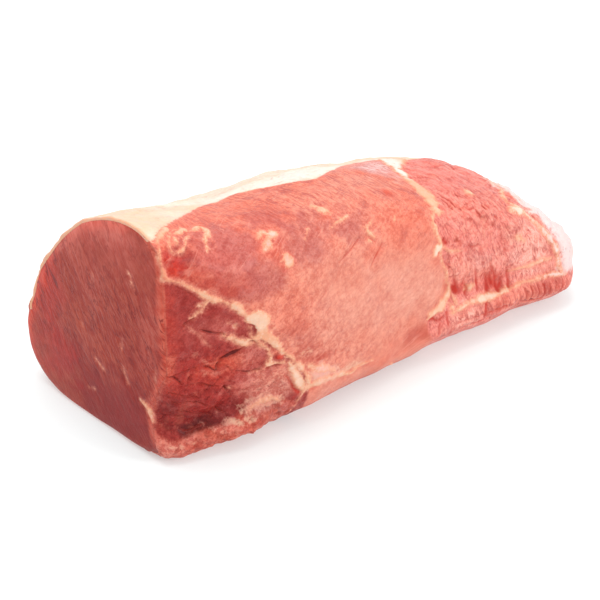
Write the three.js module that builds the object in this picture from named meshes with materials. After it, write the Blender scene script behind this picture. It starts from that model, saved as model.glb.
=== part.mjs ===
// A raw eye of round roast lying on a table, in millimetres, +Z up.
// It is a tapering log of lean with one square-cut end, a layer of fat over its back, seams where muscles
// meet, a flap along the foot of its front, and a coarse tail with a ribbed strap of meat along its foot.
// While it is being shaped, x runs from the cut end to the tail, y from the bare front to the fat-covered
// back, and z = 0 is the table. The exported group then puts the middle of its footprint at the origin.
import * as THREE from "three";
import { ImprovedNoise } from "three/addons/math/ImprovedNoise.js";

// Driving dimensions
const ROAST_LENGTH = 250;
const CUT_WIDTH = 107;
const CUT_HEIGHT = 114;
const FAT_THICKNESS = 3;
const FAT_GAP = 0.3; // clearance between the fat and the lean under it

// Cross-sections from the cut end to the tail. "at" is a share of the length, the places across are shares
// of the cut end's width from its front edge, and the heights are shares of the cut end's height. The
// foot, the shoulder and the slope are how square the outline is low and high in front and high at the
// back: 2 is an ellipse, and more is squarer.
const SECTION_NAMES = [
  "at", "front", "back", "crown", "base",
  "crownHeight", "frontHeight", "backHeight",
  "foot", "shoulder", "slope",
];
const SECTIONS = [
  [0.0, 0.0, 0.985, 0.21, 0.57, 1.02, 0.61, 0.2, 4.6, 3.2, 1.76],
  [0.175, -0.1, 1.0, 0.25, 0.55, 0.9, 0.6, 0.23, 5.6, 2.8, 1.76],
  [0.41, -0.11, 1.01, 0.28, 0.53, 0.84, 0.54, 0.28, 6.4, 2.7, 1.66],
  [0.64, -0.11, 0.97, 0.3, 0.5, 0.725, 0.47, 0.3, 7, 2.7, 1.6],
  [0.82, -0.14, 0.85, 0.29, 0.44, 0.605, 0.37, 0.25, 6, 2.7, 1.62],
  [1.0, -0.2, 0.69, 0.3, 0.37, 0.3, 0.21, 0.19, 5, 2.7, 1.45],
];
const BACK_FOOT = 2.6; // how square the outline is low at the back
const TABLE_SAG = 1.5; // how much of its foot the roast flattens against the table
const FLAT_UNDER = 4; // no hollow is left in the skin below this height
const EDGE_ROUNDING = 2.4; // the cut end's rim, where it has no fat
const CUT_BULGE = 1.6; // how far the middle of the cut end stands proud of its rim
const TAIL_ROUNDING = 22; // the length over which the tail closes
const TAIL_SQUARENESS = 2.6;

// The core line runs straight from the middle of the cut end to the middle of the tail. A place on the
// skin is [x in millimetres, angle in degrees about the core line]: 0 faces the front and 90 faces up.
const CORE_AT_CUT = new THREE.Vector2(50, 48);
const CORE_AT_TAIL = new THREE.Vector2(30, 18);
const MEAN_RADIUS = 62; // turns a degree into a distance along the skin

// The fat's edges as [x, angle]
const FAT_FRONT_EDGE = [
  [0, 56], [12, 63], [23, 67], [38, 75], [57, 83], [74, 86], [87, 83], [100, 79], [112, 79], [127, 86],
  [140, 95], [165, 103], [200, 108], [236, 100],
];
const FAT_BACK_EDGE = [[0, 190], [40, 199], [80, 203], [120, 197], [160, 204], [200, 196], [236, 190]];
const FAT_END = 238.5; // where along the roast the fat stops short of the tail
const FAT_EDGE_THICKNESS = 1.3;
const FAT_EDGE_TAPER = 0.2; // the share of the fat's width over which its edges thin out
const FAT_CUT_TAPER = 34; // the lengths over which it thins out towards the cut end and the tail
const FAT_END_TAPER = 28;
const FAT_RIM_SHARE = 0.3; // how much of the rim's rounding the fat has

// Long features as routes over the skin. Each band of relief along a route has the distance from its
// middle line at which it has faded to a third, and its height, which is negative for a groove.
const MUSCLE_SEAM = [[0, 46], [19, 36], [36, 25], [47, 8], [64, -16]];
const SEAM_PADS = [[[35, 29], [41, 21], [40, 16]], [[57, -8], [63, -18]]];
const COLLAR_SEAM = [[173, 101], [160, 73], [150, 45], [150, 25], [157, 6], [145, -10]];
const FOOT_FLAP = [[8, -42], [20, -37], [42, -31]];
const FOOT_CREVICE = [[0, -32], [9, -33], [18, -29], [27, -24], [36, -20]];
const FRONT_CRACKS = [[[23, 10], [38, 14]]];
const BACK_LOBE = [[0, 197], [18, 200]];
const BACK_NOTCH = [[0, 180], [10, 180]];
const TAIL_STRAP = [[149, -17], [163, -14], [188, -11], [232, -9]];
const TAIL_FAT_STRIP = [[145, -11], [154, -5], [203, -4], [230, -3]];
const TAIL_HOLLOW = [[156, 10], [171, 10], [184, 3], [202, 3]];
const TAIL_PLEATS = [
  [[158, 2], [157, 14]], [[170, 1], [169, 13]], [[182, -1], [181, 11]], [[192, 0], [191, 12]],
];
const BANDS = [
  { route: MUSCLE_SEAM, width: 4.5, height: -1.8 },
  ...SEAM_PADS.map((route) => ({ route, width: 5.5, height: 1.6 })),
  { route: COLLAR_SEAM, width: 4.5, height: -1.8 },
  { route: FOOT_FLAP, width: 8, height: 5.2 },
  { route: FOOT_CREVICE, width: 4.5, height: -4.5 },
  ...FRONT_CRACKS.map((route) => ({ route, width: 3, height: -2.4 })),
  { route: BACK_LOBE, width: 8, height: 2 },
  { route: BACK_NOTCH, width: 9, height: -2.4 },
  { route: TAIL_STRAP, width: 6, height: 3.4, ribs: true },
  { route: TAIL_FAT_STRIP, width: 3.5, height: 0.8 },
  { route: TAIL_HOLLOW, width: 6, height: -1.6 },
  ...TAIL_PLEATS.map((route) => ({ route, width: 2.8, height: -2.6 })),
];
const RIB_PITCH = 4.8;
const RIB_SHARE = 0.3; // of the strap's height

// Two muscles lie lower than their neighbours: the one below the seam in front and the bare one beyond the
// collar. Each pair of angles or places is where the step down starts and where it is complete.
const FRONT_MUSCLE = { depth: 2.4, angles: [-45, -25], end: [62, 52] };
const TAIL_MUSCLE = { depth: 1.6, lower: [-20, 8], upper: [125, 100] };
const STEP_WIDTH = 7;

// Lumps and crags, each with the size of one lump
const SWELL = { size: 46, height: 2.4 };
const LUMP = { size: 19, height: 0.9 };
const CRAG = { size: 8.5, height: 2.2 };
const CUT_RIPPLE = { size: 16, height: 0.5 };

// How finely the skin is divided
const FAT_COLUMNS = 15;
const BARE_COLUMNS = 45;
const UNDERSIDE = { from: 215, to: 305, weight: 0.5 }; // fewer columns where it lies on the table
const RIM_ROWS = [0, 0.8, 2.8];
const ROW_STEP = 5;
const FINE_FROM = 150; // the ribs start here, and a rib takes two rows
const TAIL_ROWS = [14, 28, 42, 55, 67, 77, 85]; // degrees round the tail's end
const CUT_RINGS = [0.9, 0.72, 0.54, 0.36, 0.18];
const QUARTER_STEPS = 40;

const radians = THREE.MathUtils.degToRad;
const noise = new ImprovedNoise();

// A smooth curve through [place, value] pairs, level beyond its ends.
function curveThrough(pairs) {
  const curve = new THREE.CubicInterpolant(pairs.map((pair) => pair[0]), pairs.map((pair) => pair[1]), 1);
  return (place) => curve.evaluate(place)[0];
}

const sizeAt = {};
for (const [column, name] of SECTION_NAMES.entries()) {
  let scale = CUT_WIDTH;
  if (name.endsWith("Height")) scale = CUT_HEIGHT;
  if (["foot", "shoulder", "slope"].includes(name)) scale = 1;
  const places = SECTIONS.map((section) => [section[0] * ROAST_LENGTH, section[column] * scale]);
  sizeAt[name] = curveThrough(places);
}
const fatFrontAt = curveThrough(FAT_FRONT_EDGE);
const fatBackAt = curveThrough(FAT_BACK_EDGE);
const seamAngleAt = curveThrough(MUSCLE_SEAM);
const collarPlaceAt = curveThrough([...COLLAR_SEAM].reverse().map(([x, angle]) => [angle, x]));

const coreAt = (x) => CORE_AT_CUT.clone().lerp(CORE_AT_TAIL, x / ROAST_LENGTH);

// A quarter of a superellipse, from beside its middle to above or below it.
function quarterArc(middleY, middleZ, reachY, reachZ, squareness) {
  const points = [];
  for (let i = 0; i < QUARTER_STEPS; i++) {
    const turn = (i / QUARTER_STEPS) * (Math.PI / 2);
    const y = middleY + reachY * Math.cos(turn) ** (2 / squareness);
    const z = middleZ + reachZ * Math.sin(turn) ** (2 / squareness);
    points.push(new THREE.Vector2(y, z));
  }
  points.push(new THREE.Vector2(middleY, middleZ + reachZ));
  return points;
}

// The smooth outline across the roast at x, as [angle, radius] about the core line in order of angle.
function sectionAt(x) {
  const size = {};
  for (const name in sizeAt) size[name] = sizeAt[name](x);
  const { front, back, crown, base, crownHeight, frontHeight, backHeight, foot, shoulder, slope } = size;
  const quarters = [
    quarterArc(crown, frontHeight, front - crown, crownHeight - frontHeight, shoulder),
    quarterArc(crown, backHeight, back - crown, crownHeight - backHeight, slope).reverse(),
    quarterArc(base, backHeight, back - base, -backHeight, BACK_FOOT),
    quarterArc(base, frontHeight, front - base, -frontHeight, foot).reverse(),
  ];
  const core = coreAt(x);
  const outline = [];
  for (const point of quarters.flatMap((quarter) => quarter.slice(0, -1))) {
    const z = Math.max(0, point.y - TABLE_SAG);
    let angle = THREE.MathUtils.radToDeg(Math.atan2(z - core.y, core.x - point.x));
    if (outline.length && angle < outline[0][0]) angle += 360;
    outline.push([angle, Math.hypot(z - core.y, core.x - point.x)]);
  }
  outline.push([outline[0][0] + 360, outline[0][1]]);
  return { x, core, outline };
}

function radiusAt(section, angle) {
  const { outline } = section;
  const start = outline[0][0];
  const wrapped = start + THREE.MathUtils.euclideanModulo(angle - start, 360);
  let above = 1;
  while (above < outline.length - 1 && outline[above][0] < wrapped) above++;
  const [lowAngle, lowRadius] = outline[above - 1];
  const [highAngle, highRadius] = outline[above];
  return THREE.MathUtils.mapLinear(wrapped, lowAngle, highAngle, lowRadius, highRadius);
}

function skinPoint(section, angle, lift) {
  const radius = radiusAt(section, angle) + lift;
  const y = section.core.x - radius * Math.cos(radians(angle));
  const z = section.core.y + radius * Math.sin(radians(angle));
  return new THREE.Vector3(section.x, y, Math.max(0, z));
}

// Angles from one to another, spread evenly along the skin, with fewer on the underside.
function spreadAngles(section, from, to, count) {
  const degrees = Math.ceil(to - from);
  const reached = [0];
  let last = skinPoint(section, from, 0);
  for (let i = 1; i <= degrees; i++) {
    const angle = from + ((to - from) * i) / degrees;
    const next = skinPoint(section, angle, 0);
    const under = angle > UNDERSIDE.from && angle < UNDERSIDE.to;
    reached.push(reached[i - 1] + last.distanceTo(next) * (under ? UNDERSIDE.weight : 1));
    last = next;
  }
  const angles = [];
  let i = 1;
  for (let step = 0; step <= count; step++) {
    const wanted = (reached[degrees] * step) / count;
    while (i < degrees && reached[i] < wanted) i++;
    const share = (wanted - reached[i - 1]) / (reached[i] - reached[i - 1]);
    angles.push(from + ((to - from) * (i - 1 + share)) / degrees);
  }
  return angles;
}

// The same angle, turned by whole circles to within half a circle of another.
const nearTo = (other, angle) => other + THREE.MathUtils.euclideanModulo(angle - other + 180, 360) - 180;

// How far along the skin a place is from a route, in millimetres.
function distanceToRoute(x, angle, route) {
  const flat = ([alongX, turned]) => new THREE.Vector3(alongX, radians(turned) * MEAN_RADIUS, 0);
  const place = flat([x, nearTo(route[0][1], angle)]);
  const nearest = new THREE.Vector3();
  let least = Infinity;
  for (let i = 1; i < route.length; i++) {
    new THREE.Line3(flat(route[i - 1]), flat(route[i])).closestPointToPoint(place, true, nearest);
    least = Math.min(least, nearest.distanceTo(place));
  }
  return least;
}

function bumpAt({ x, y, z }, { size, height }) {
  return height * noise.noise(x / size, y / size, z / size);
}

// 0 before the first place, 1 beyond the second, and smooth between them, whichever way they run.
function fade(value, [start, complete]) {
  const share = THREE.MathUtils.inverseLerp(start, complete, value);
  return THREE.MathUtils.smoothstep(share, 0, 1);
}

// The height of the skin's relief, from its long features, its sunken muscles and its lumps and crags.
function reliefAt(section, angle) {
  const { x } = section;
  const point = skinPoint(section, angle, 0);
  const signedAngle = nearTo(0, angle);
  let relief = bumpAt(point, SWELL) + bumpAt(point, LUMP);
  for (const band of BANDS) {
    const far = distanceToRoute(x, angle, band.route) / band.width;
    let height = band.height * Math.exp(-far * far);
    if (band.ribs) height *= 1 + RIB_SHARE * Math.cos(((x - FINE_FROM) / RIB_PITCH) * 2 * Math.PI);
    relief += height;
  }
  const inFront = fade(signedAngle, FRONT_MUSCLE.angles) * fade(x, FRONT_MUSCLE.end);
  relief -= FRONT_MUSCLE.depth * inFront * fade(seamAngleAt(x) - signedAngle, [0, STEP_WIDTH]);
  const inTail = fade(signedAngle, TAIL_MUSCLE.lower) * fade(signedAngle, TAIL_MUSCLE.upper);
  const pastCollar = fade(x - collarPlaceAt(signedAngle), [0, STEP_WIDTH]);
  relief += inTail * pastCollar * (bumpAt(point, CRAG) - TAIL_MUSCLE.depth);
  return relief < 0 ? relief * fade(point.z, [0, FLAT_UNDER]) : relief;
}

// The fat's full thickness over the lean at row x and at a share of the way across it.
function fatThickness(x, across) {
  if (x > FAT_END) return 0;
  const sides = Math.min(across, 1 - across) / FAT_EDGE_TAPER;
  const ends = Math.min(x / FAT_CUT_TAPER, (FAT_END - x) / FAT_END_TAPER);
  return FAT_EDGE_THICKNESS + (FAT_THICKNESS - FAT_EDGE_THICKNESS) * fade(Math.min(sides, ends), [0, 1]);
}

// Closes the roast towards the tail's end by drawing each section in to its middle.
function closeTail(point) {
  const into = (point.x - (ROAST_LENGTH - TAIL_ROUNDING)) / TAIL_ROUNDING;
  if (into <= 0) return point;
  const shrink = Math.max(0, 1 - into ** TAIL_SQUARENESS) ** (1 / TAIL_SQUARENESS);
  const core = coreAt(point.x);
  point.y = core.x + (point.y - core.x) * shrink;
  point.z = core.y + (point.z - core.y) * shrink;
  return point;
}

function rowPlaces() {
  const places = [...RIM_ROWS];
  const coarse = Math.round((FINE_FROM - places.at(-1)) / ROW_STEP);
  const rimEnd = places.at(-1);
  for (let i = 1; i <= coarse; i++) places.push(rimEnd + ((FINE_FROM - rimEnd) * i) / coarse);
  const tailFrom = ROAST_LENGTH - TAIL_ROUNDING;
  while (places.at(-1) + RIB_PITCH / 2 <= tailFrom) places.push(places.at(-1) + RIB_PITCH / 2);
  for (const turn of TAIL_ROWS) places.push(tailFrom + TAIL_ROUNDING * Math.sin(radians(turn)));
  return places;
}

// One ring of the skin at x: the first columns lie under the fat and the rest are bare.
function ringAt(x) {
  const section = sectionAt(x);
  const from = fatFrontAt(x);
  const to = fatBackAt(x);
  const covered = spreadAngles(section, from, to, FAT_COLUMNS);
  const bare = spreadAngles(section, to, from + 360, BARE_COLUMNS).slice(1, -1);
  const rim = THREE.MathUtils.clamp(1 - x / RIM_ROWS.at(-1), 0, 1);
  const inset = EDGE_ROUNDING * (1 - Math.sqrt(1 - rim * rim));
  const fat = [];
  const lean = covered.map((angle, column) => {
    const relief = reliefAt(section, angle);
    const thickness = fatThickness(x, column / FAT_COLUMNS);
    const under = closeTail(skinPoint(section, angle, relief - thickness));
    const inner = closeTail(skinPoint(section, angle, relief - thickness + FAT_GAP));
    const outer = closeTail(skinPoint(section, angle, relief - inset * FAT_RIM_SHARE));
    if (thickness > 0) fat.push({ inner, outer });
    return under;
  });
  for (const angle of bare) lean.push(closeTail(skinPoint(section, angle, reliefAt(section, angle) - inset)));
  return { lean, fat };
}

// Collects points and faces into one closed mesh geometry.
class SolidBuilder {
  points = [];
  faces = [];

  add(points) {
    const first = this.points.length;
    this.points.push(...points);
    return points.map((_, i) => first + i);
  }

  // Two triangles between two rows of point numbers, with the diagonals laid alternately.
  strip(lower, upper, parity, flipped = false) {
    for (let i = 0; i + 1 < lower.length; i++) {
      const [a, b, c, d] = [lower[i], lower[i + 1], upper[i + 1], upper[i]];
      const faces = (i + parity) % 2 ? [[a, b, c], [a, c, d]] : [[a, b, d], [b, c, d]];
      for (const face of faces) this.faces.push(flipped ? face.reverse() : face);
    }
  }

  fan(ring, point, flipped = false) {
    const [centre] = this.add([point]);
    for (let i = 0; i + 1 < ring.length; i++) {
      this.faces.push(flipped ? [centre, ring[i + 1], ring[i]] : [centre, ring[i], ring[i + 1]]);
    }
  }

  geometry() {
    const positions = new Float32Array(this.points.flatMap((point) => point.toArray()));
    return new THREE.BufferGeometry()
      .setAttribute("position", new THREE.BufferAttribute(positions, 3))
      .setIndex(this.faces.flat());
  }
}

const closedRing = (numbers) => [...numbers, numbers[0]];

function leanGeometry(rings) {
  const solid = new SolidBuilder();
  const rows = rings.map((ring) => closedRing(solid.add(ring.lean)));
  for (let row = 0; row + 1 < rows.length; row++) solid.strip(rows[row], rows[row + 1], row, true);

  const rim = rings[0].lean;
  const core = coreAt(0);
  const middle = new THREE.Vector3(0, core.x, core.y);
  const onCut = (point, share) => {
    const placed = middle.clone().lerp(point, share);
    placed.x = -CUT_BULGE * (1 - share * share) + bumpAt(placed, CUT_RIPPLE) * (1 - share ** 4);
    return placed;
  };
  let outer = rows[0];
  for (const share of CUT_RINGS) {
    const inner = closedRing(solid.add(rim.map((point) => onCut(point, share))));
    solid.strip(outer, inner, 0);
    outer = inner;
  }
  solid.fan(outer, onCut(middle, 0));

  const tailCore = coreAt(ROAST_LENGTH);
  solid.fan(rows.at(-1), new THREE.Vector3(ROAST_LENGTH, tailCore.x, tailCore.y), true);
  return solid.geometry();
}

function fatGeometry(rings) {
  const solid = new SolidBuilder();
  const covered = rings.filter((ring) => ring.fat.length);
  const outer = covered.map((ring) => solid.add(ring.fat.map((place) => place.outer)));
  const inner = covered.map((ring) => solid.add(ring.fat.map((place) => place.inner)));
  for (let row = 0; row + 1 < covered.length; row++) {
    solid.strip(outer[row], outer[row + 1], row, true);
    solid.strip(inner[row], inner[row + 1], row);
    const firstEdges = [row, row + 1].map((at) => [outer[at][0], inner[at][0]]);
    solid.strip(...firstEdges, 0);
    const lastEdges = [row, row + 1].map((at) => [outer[at].at(-1), inner[at].at(-1)]);
    solid.strip(...lastEdges, 0, true);
  }
  solid.strip(outer[0], inner[0], 0);
  solid.strip(outer.at(-1), inner.at(-1), 0, true);
  return solid.geometry();
}

function namedMesh(name, geometry, material) {
  geometry.computeVertexNormals();
  const mesh = new THREE.Mesh(geometry, new THREE.MeshStandardMaterial(material));
  mesh.name = name;
  return mesh;
}

const rings = rowPlaces().map(ringAt);
const roast = new THREE.Group();
roast.add(
  namedMesh("lean", leanGeometry(rings), { color: 0xc65a4e, roughness: 0.45, metalness: 0 }),
  namedMesh("fat_cap", fatGeometry(rings), { color: 0xf1dcc0, roughness: 0.5, metalness: 0 }),
);

const bounds = new THREE.Box3().setFromObject(roast);
const middle = bounds.getCenter(new THREE.Vector3());
roast.position.set(-middle.x, -middle.y, -bounds.min.z);

export default roast;
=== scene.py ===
import itertools
import math

import bmesh
import bpy
import numpy as np
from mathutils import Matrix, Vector
from mathutils.bvhtree import BVHTree
from mathutils.kdtree import KDTree


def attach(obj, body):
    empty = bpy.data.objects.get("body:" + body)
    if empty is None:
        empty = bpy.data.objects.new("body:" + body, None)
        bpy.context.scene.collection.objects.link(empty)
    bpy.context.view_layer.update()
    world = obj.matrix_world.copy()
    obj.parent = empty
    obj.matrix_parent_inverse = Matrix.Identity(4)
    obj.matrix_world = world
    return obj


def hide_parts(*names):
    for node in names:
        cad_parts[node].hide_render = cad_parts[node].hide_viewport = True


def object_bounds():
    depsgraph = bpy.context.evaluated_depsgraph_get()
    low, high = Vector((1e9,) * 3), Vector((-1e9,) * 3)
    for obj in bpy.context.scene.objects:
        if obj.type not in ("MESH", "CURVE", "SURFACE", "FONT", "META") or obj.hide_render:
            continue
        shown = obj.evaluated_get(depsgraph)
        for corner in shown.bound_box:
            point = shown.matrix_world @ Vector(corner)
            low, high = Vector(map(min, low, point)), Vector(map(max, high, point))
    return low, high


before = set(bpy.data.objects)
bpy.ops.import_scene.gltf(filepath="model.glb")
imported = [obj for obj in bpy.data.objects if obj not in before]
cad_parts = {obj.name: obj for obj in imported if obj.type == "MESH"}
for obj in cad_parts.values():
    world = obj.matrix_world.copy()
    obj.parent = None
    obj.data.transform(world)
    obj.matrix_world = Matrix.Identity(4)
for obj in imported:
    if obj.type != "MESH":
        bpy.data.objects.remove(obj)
CAD_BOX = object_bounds()

# Places on the skin are [millimetres from the cut end, degrees about the core line]: 0 faces the bare front
# and 90 faces up. The core line runs straight from the middle of the cut end to the middle of the tail.
MILLIMETRE = 0.001
CUT_PLANE = -124.1
ROAST_LENGTH = 250.0
CORE_AT_CUT = np.array([5.51, 48.0])
CORE_AT_TAIL = np.array([-14.49, 18.0])
MEAN_RADIUS = 50.0

# The fat's edges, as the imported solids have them
FAT_FRONT_EDGE = [
    (-1, 55.5), (0, 56), (12, 63), (23, 67), (38, 75), (57, 83), (74, 86), (87, 83), (100, 79), (112, 79),
    (127, 86), (140, 95), (165, 103), (200, 108), (230, 101), (237, 103),
]
FAT_END_EDGE = [(238.5, 115), (238.5, 145), (238.5, 175)]
FAT_BACK_EDGE = [
    (237, 189), (225, 191), (200, 196), (180, 201), (160, 204), (140, 201), (120, 197), (100, 200),
    (80, 203), (60, 202), (40, 199), (20, 194), (0, 190), (-1, 190),
]

# Seams, veins and flecks of fat over the lean. Each place also has half the line's width in millimetres.
SEAMS = {
    "fat edge to cut end": [
        (12.6, 61.5, 2.2), (7.3, 59, 1.6), (3.1, 56.5, 1.2), (2, 53.5, 0.8), (1.3, 50.5, 0.7), (1.4, 48, 1),
        (2, 45.5, 1.2),
    ],
    "muscle seam": [
        (1.4, 45.5, 0.9), (4, 44.5, 0.7), (8.4, 43, 0.5), (12.7, 40.5, 0.7), (16.1, 38.5, 1.1), (19.5, 36, 1.7),
        (22.8, 34, 1.4), (26.1, 32.5, 0.8), (29.3, 31, 0.9), (32.1, 29, 1.7), (34.2, 27, 1.6), (35.8, 25.5, 0.7),
        (37.5, 24, 2.2), (40, 22.5, 3.9), (41.9, 20.5, 4.2), (42.7, 17.5, 3), (44.2, 14, 2.2), (47.5, 11, 1.8),
        (51.4, 6.5, 1.4), (56.5, 1, 1.2), (60.1, -3, 1.5), (64.1, -8, 1.6), (67, -13, 1.4), (68.1, -17, 0.9),
    ],
    "lower patch": [(57.8, -4, 1.2), (60.6, -10, 2), (63.6, -16, 2.2), (65.5, -20, 1.2)],
    "left strand": [(38, 19, 0.8), (39.6, 13, 0.9), (43, 9.5, 0.8), (46.5, 6.5, 0.7), (48.3, 1, 1), (46.5, -2.5, 1.4)],
    "strand foot": [(46.5, -2.5, 1.2), (50.7, -2.5, 0.9), (55.1, -3, 0.8), (59.1, -3.5, 0.9)],
    "strand branch": [(46.5, -2.5, 0.7), (44.2, -4, 0.5), (41.7, -5, 0.2), (38.3, -5, 0)],
    "first papilla": [(54.8, 11, -0.6), (55.3, 7.5, -0.5), (56, 4, -0.2)],
    "second papilla": [(59.5, 9.5, -0.7), (60, 6, -0.5), (60.6, 3, -0.2)],
    "third papilla": [(57.9, 8, -0.6), (58.2, 4, -0.4)],
    "upper branch": [(19.9, 34, 1.3), (18.9, 32.5, 1), (17.1, 31, 0.7), (14.8, 29.5, 0.5), (12.8, 28.5, 0.3)],
    "upper branch hook": [(18.7, 32, 0.6), (16.9, 33, 0.6), (15.9, 33.5, 0.2)],
    "wedge": [(26.3, 17.5, 0.5), (29.3, 16, 1), (33.6, 13.5, 1.9), (36.9, 12, 1.7), (39.3, 12.5, 1.6), (41.5, 14, 2.1)],
    "foot patch": [(67.8, -7.5, 1), (71.7, -9.5, 1.6), (75.6, -10.5, 2), (79, -12, 1.6), (82.2, -14, 0.9)],
    "foot patch edge": [
        (66.5, -18.5, 1.7), (70.2, -18, 1.9), (75.2, -17, 1.9), (80.7, -17, 1.6), (87.7, -19, 1.4),
        (93.6, -21, 1.2), (98.4, -19.5, 0.8), (103.8, -18.5, 0.5), (108.1, -18.5, 0.3),
    ],
    "foot lumps": [(38.8, -24.5, 0.3), (42.1, -22.5, 0.9), (45.9, -21.5, 1.4), (50.7, -21.5, 1), (54.5, -23.5, 0.3)],
    "foot edge line": [(64.7, -21.5, 0.2), (63, -25, 0.3), (61.3, -29.5, 0.3), (61.6, -36.5, 0.2)],
    "foot thread": [(9.8, 26.6, -0.6), (13.2, 23, -0.3), (15.6, 20.1, -0.3), (17.1, 17.2, -0.4), (19.7, 13.8, -0.6)],
    "first dot": [(28.6, 23.6, 0.1), (29, 23.2, 0.1)],
    "second dot": [(31.7, 21, 0.2), (32.1, 20.6, 0.1)],
    "upper fleck": [
        (62.5, 52.2, 1.2), (60.3, 52, 2.4), (58.1, 51.4, 3.4), (56.5, 50, 3), (55.3, 48.8, 2.4), (53.5, 47.6, 1.7),
        (52, 46.7, 1),
    ],
    "upper fleck arm": [(58.1, 52, 1.6), (56, 53, 1.4), (53.5, 52.2, 1), (51.4, 51, 0.6)],
    "lower fleck": [(56.9, 41.3, 0.9), (60, 41.9, 1.9), (60.5, 40.3, 2.3), (61.6, 39.7, 1.4)],
    "first ring lump": [(16, 59.6, 0.9), (18.1, 60.1, 2), (21.5, 61.1, 2), (23, 61.6, 0.9)],
    "first ring outline": [
        (20, 61.5, 0.2), (16, 61, 0.2), (12.7, 59.2, 0.3), (8.6, 55.6, 0.4), (7.8, 52.7, 0.6), (11.2, 51.9, 0.8),
        (15.2, 53.5, 0.6), (18.3, 56.2, 0.4), (22, 58.8, 0.2),
    ],
    "first ring middle": [(13.2, 57.2, 0.8), (12.8, 56.4, 1), (12.3, 55.2, 0.8)],
    "second ring": [
        (24, 60, 0.3), (26.5, 60.6, 0.6), (30.1, 61.9, 1.2), (31.8, 61.2, 1.7), (32.5, 58.9, 1.8), (30.2, 57, 1.5),
        (28, 55.7, 1.1), (26.4, 53, 0.9), (25.2, 50.9, 0.5),
    ],
    "long fleck": [(79, 51, 0.3), (76.5, 49, 0.3), (74, 47, 0.2)],
    "crown fleck": [(90, 61, 0.5), (91.6, 60, 1.2), (93, 58, 1.5), (95, 56, 0.8)],
    "middle streak": [(90.3, 49, 0.3), (93.6, 50.5, 0.7), (97.4, 51.5, 0.9), (101.1, 52.5, 0.9), (103.1, 53, 0.3)],
    "hooked fleck": [(113.4, 49, 0.4), (111.2, 47.5, 0.6), (108.8, 46, 0.6), (107.2, 47, 0.4)],
    "hooked fleck foot": [(108, 46, 0.6), (109, 44, 0.7), (110.9, 42, 0.3)],
    "small fleck": [(128, 49, 0.4), (126.5, 47, 0.5)],
    "low fleck": [(107.2, 41.5, 0.7), (108.5, 41, 0.6)],
    "collar notch": [(175, 106, 7), (167.5, 94, 5.6), (163.1, 85, 3.1), (161.9, 79, 2.8), (161.2, 73.5, 2.2)],
    "collar": [
        (160.7, 74, 1.9), (161.1, 70, 3.5), (159.7, 64.5, 4.8), (158.9, 60, 5), (157.8, 55.5, 3.5),
        (156.1, 51.5, 2.7), (155.2, 48.5, 2.5), (158.5, 47.5, 0.6),
    ],
    "collar middle": [(155.7, 50.5, 1.6), (151.6, 47, 1.3), (148.9, 43.5, 1.4), (148.7, 40, 1.6), (150.1, 36.5, 1), (151, 34, 1.2)],
    "collar pad": [(151.2, 33.5, 1.4), (149.7, 32, 2.8), (147.3, 30, 2.2), (145.4, 28.5, 0.8)],
    "collar branch": [(151.9, 32, 0.6), (155, 30, 0.6), (158.6, 28.5, 0.5), (164.4, 27.5, 0.3)],
    "collar foot": [
        (151, 31, 0.8), (151.6, 27, 0.6), (152.6, 23, 0.5), (154.2, 18, 0.7), (157.8, 11.5, 0.8), (158.3, 7, 1.1),
        (157.7, 3, 2.1), (154.1, 0.5, 2.8), (150.7, -2, 3), (146.8, -3.5, 2.7), (144.3, -5.5, 1.8), (143.3, -7, 0.9),
    ],
    "tail strip": [
        (157.6, -2, 0.5), (158.6, -4.5, 1.1), (159.2, -7.5, 1.2), (163.2, -6, 1.5), (168, -5, 2), (173.4, -4.5, 2.1),
        (178.4, -4.5, 2.2), (182.6, -4.5, 1.8), (187.4, -4.5, 1.5), (193.9, -3.5, 1.2), (201.1, -3, 1.1),
        (207.4, -2, 1.1), (214.4, -1.5, 1), (220, -1, 1.1), (225.5, -1.5, 1.2), (230.4, -2.5, 1.2),
    ],
    "tail strip upper bit": [(169.6, 2.5, 0.7), (171.9, 3.5, 1.4), (173.8, 5, 1)],
    "tail strip left bit": [(160.3, 1.5, 0.5), (160.7, -0.5, 0.8), (161.3, -3, 0.8)],
    "tail line": [(196.7, 7, 0.6), (202.5, 7.5, 0.9), (209.8, 8, 1.1), (216.7, 8.5, 1), (221.6, 10, 0.7)],
    "tail star": [(198.2, 27.8, 0.7), (200.6, 26.5, 1.5), (203.3, 25.5, 0.9), (205, 24, 0.4)],
    "tail patch": [(204, 42, 2.1), (206.9, 41, 2.3), (209.4, 39.5, 1.1)],
    "tail fleck": [(184.2, 57, 0.9), (184.2, 55.5, 2.2), (185.5, 54, 1.7)],
    "tail rim": [
        (212, 58.5, 1), (205, 50, 1.2), (207, 44, 1.2), (211, 38, 1.3), (217, 32, 1.3), (221, 24.5, 1.3),
        (224.5, 17.5, 1.3), (226, 10, 1.2), (227.5, 3, 1), (229, -2, 0.9),
    ],
    "flake edge": [(17.4, 5.5, -0.7), (20.2, 3, -0.6), (23.8, 2.5, -0.7)],
    "low flake edge": [(16.7, 0.2, -0.7), (19.3, -2.4, -0.6), (22.9, -3.2, -0.6), (26.5, -2.6, -0.8)],
    "first speck": [(28.7, -12, 0.1), (29.2, -12.2, 0)],
    "second speck": [(13.7, 10, 0), (14.1, 10, -0.1)],
    "third speck": [(18.7, -3, 0), (19, -3, -0.1)],
    "table fleck": [(123.2, -29, 0.8), (124.2, -29.5, 0.9)],
}

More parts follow.
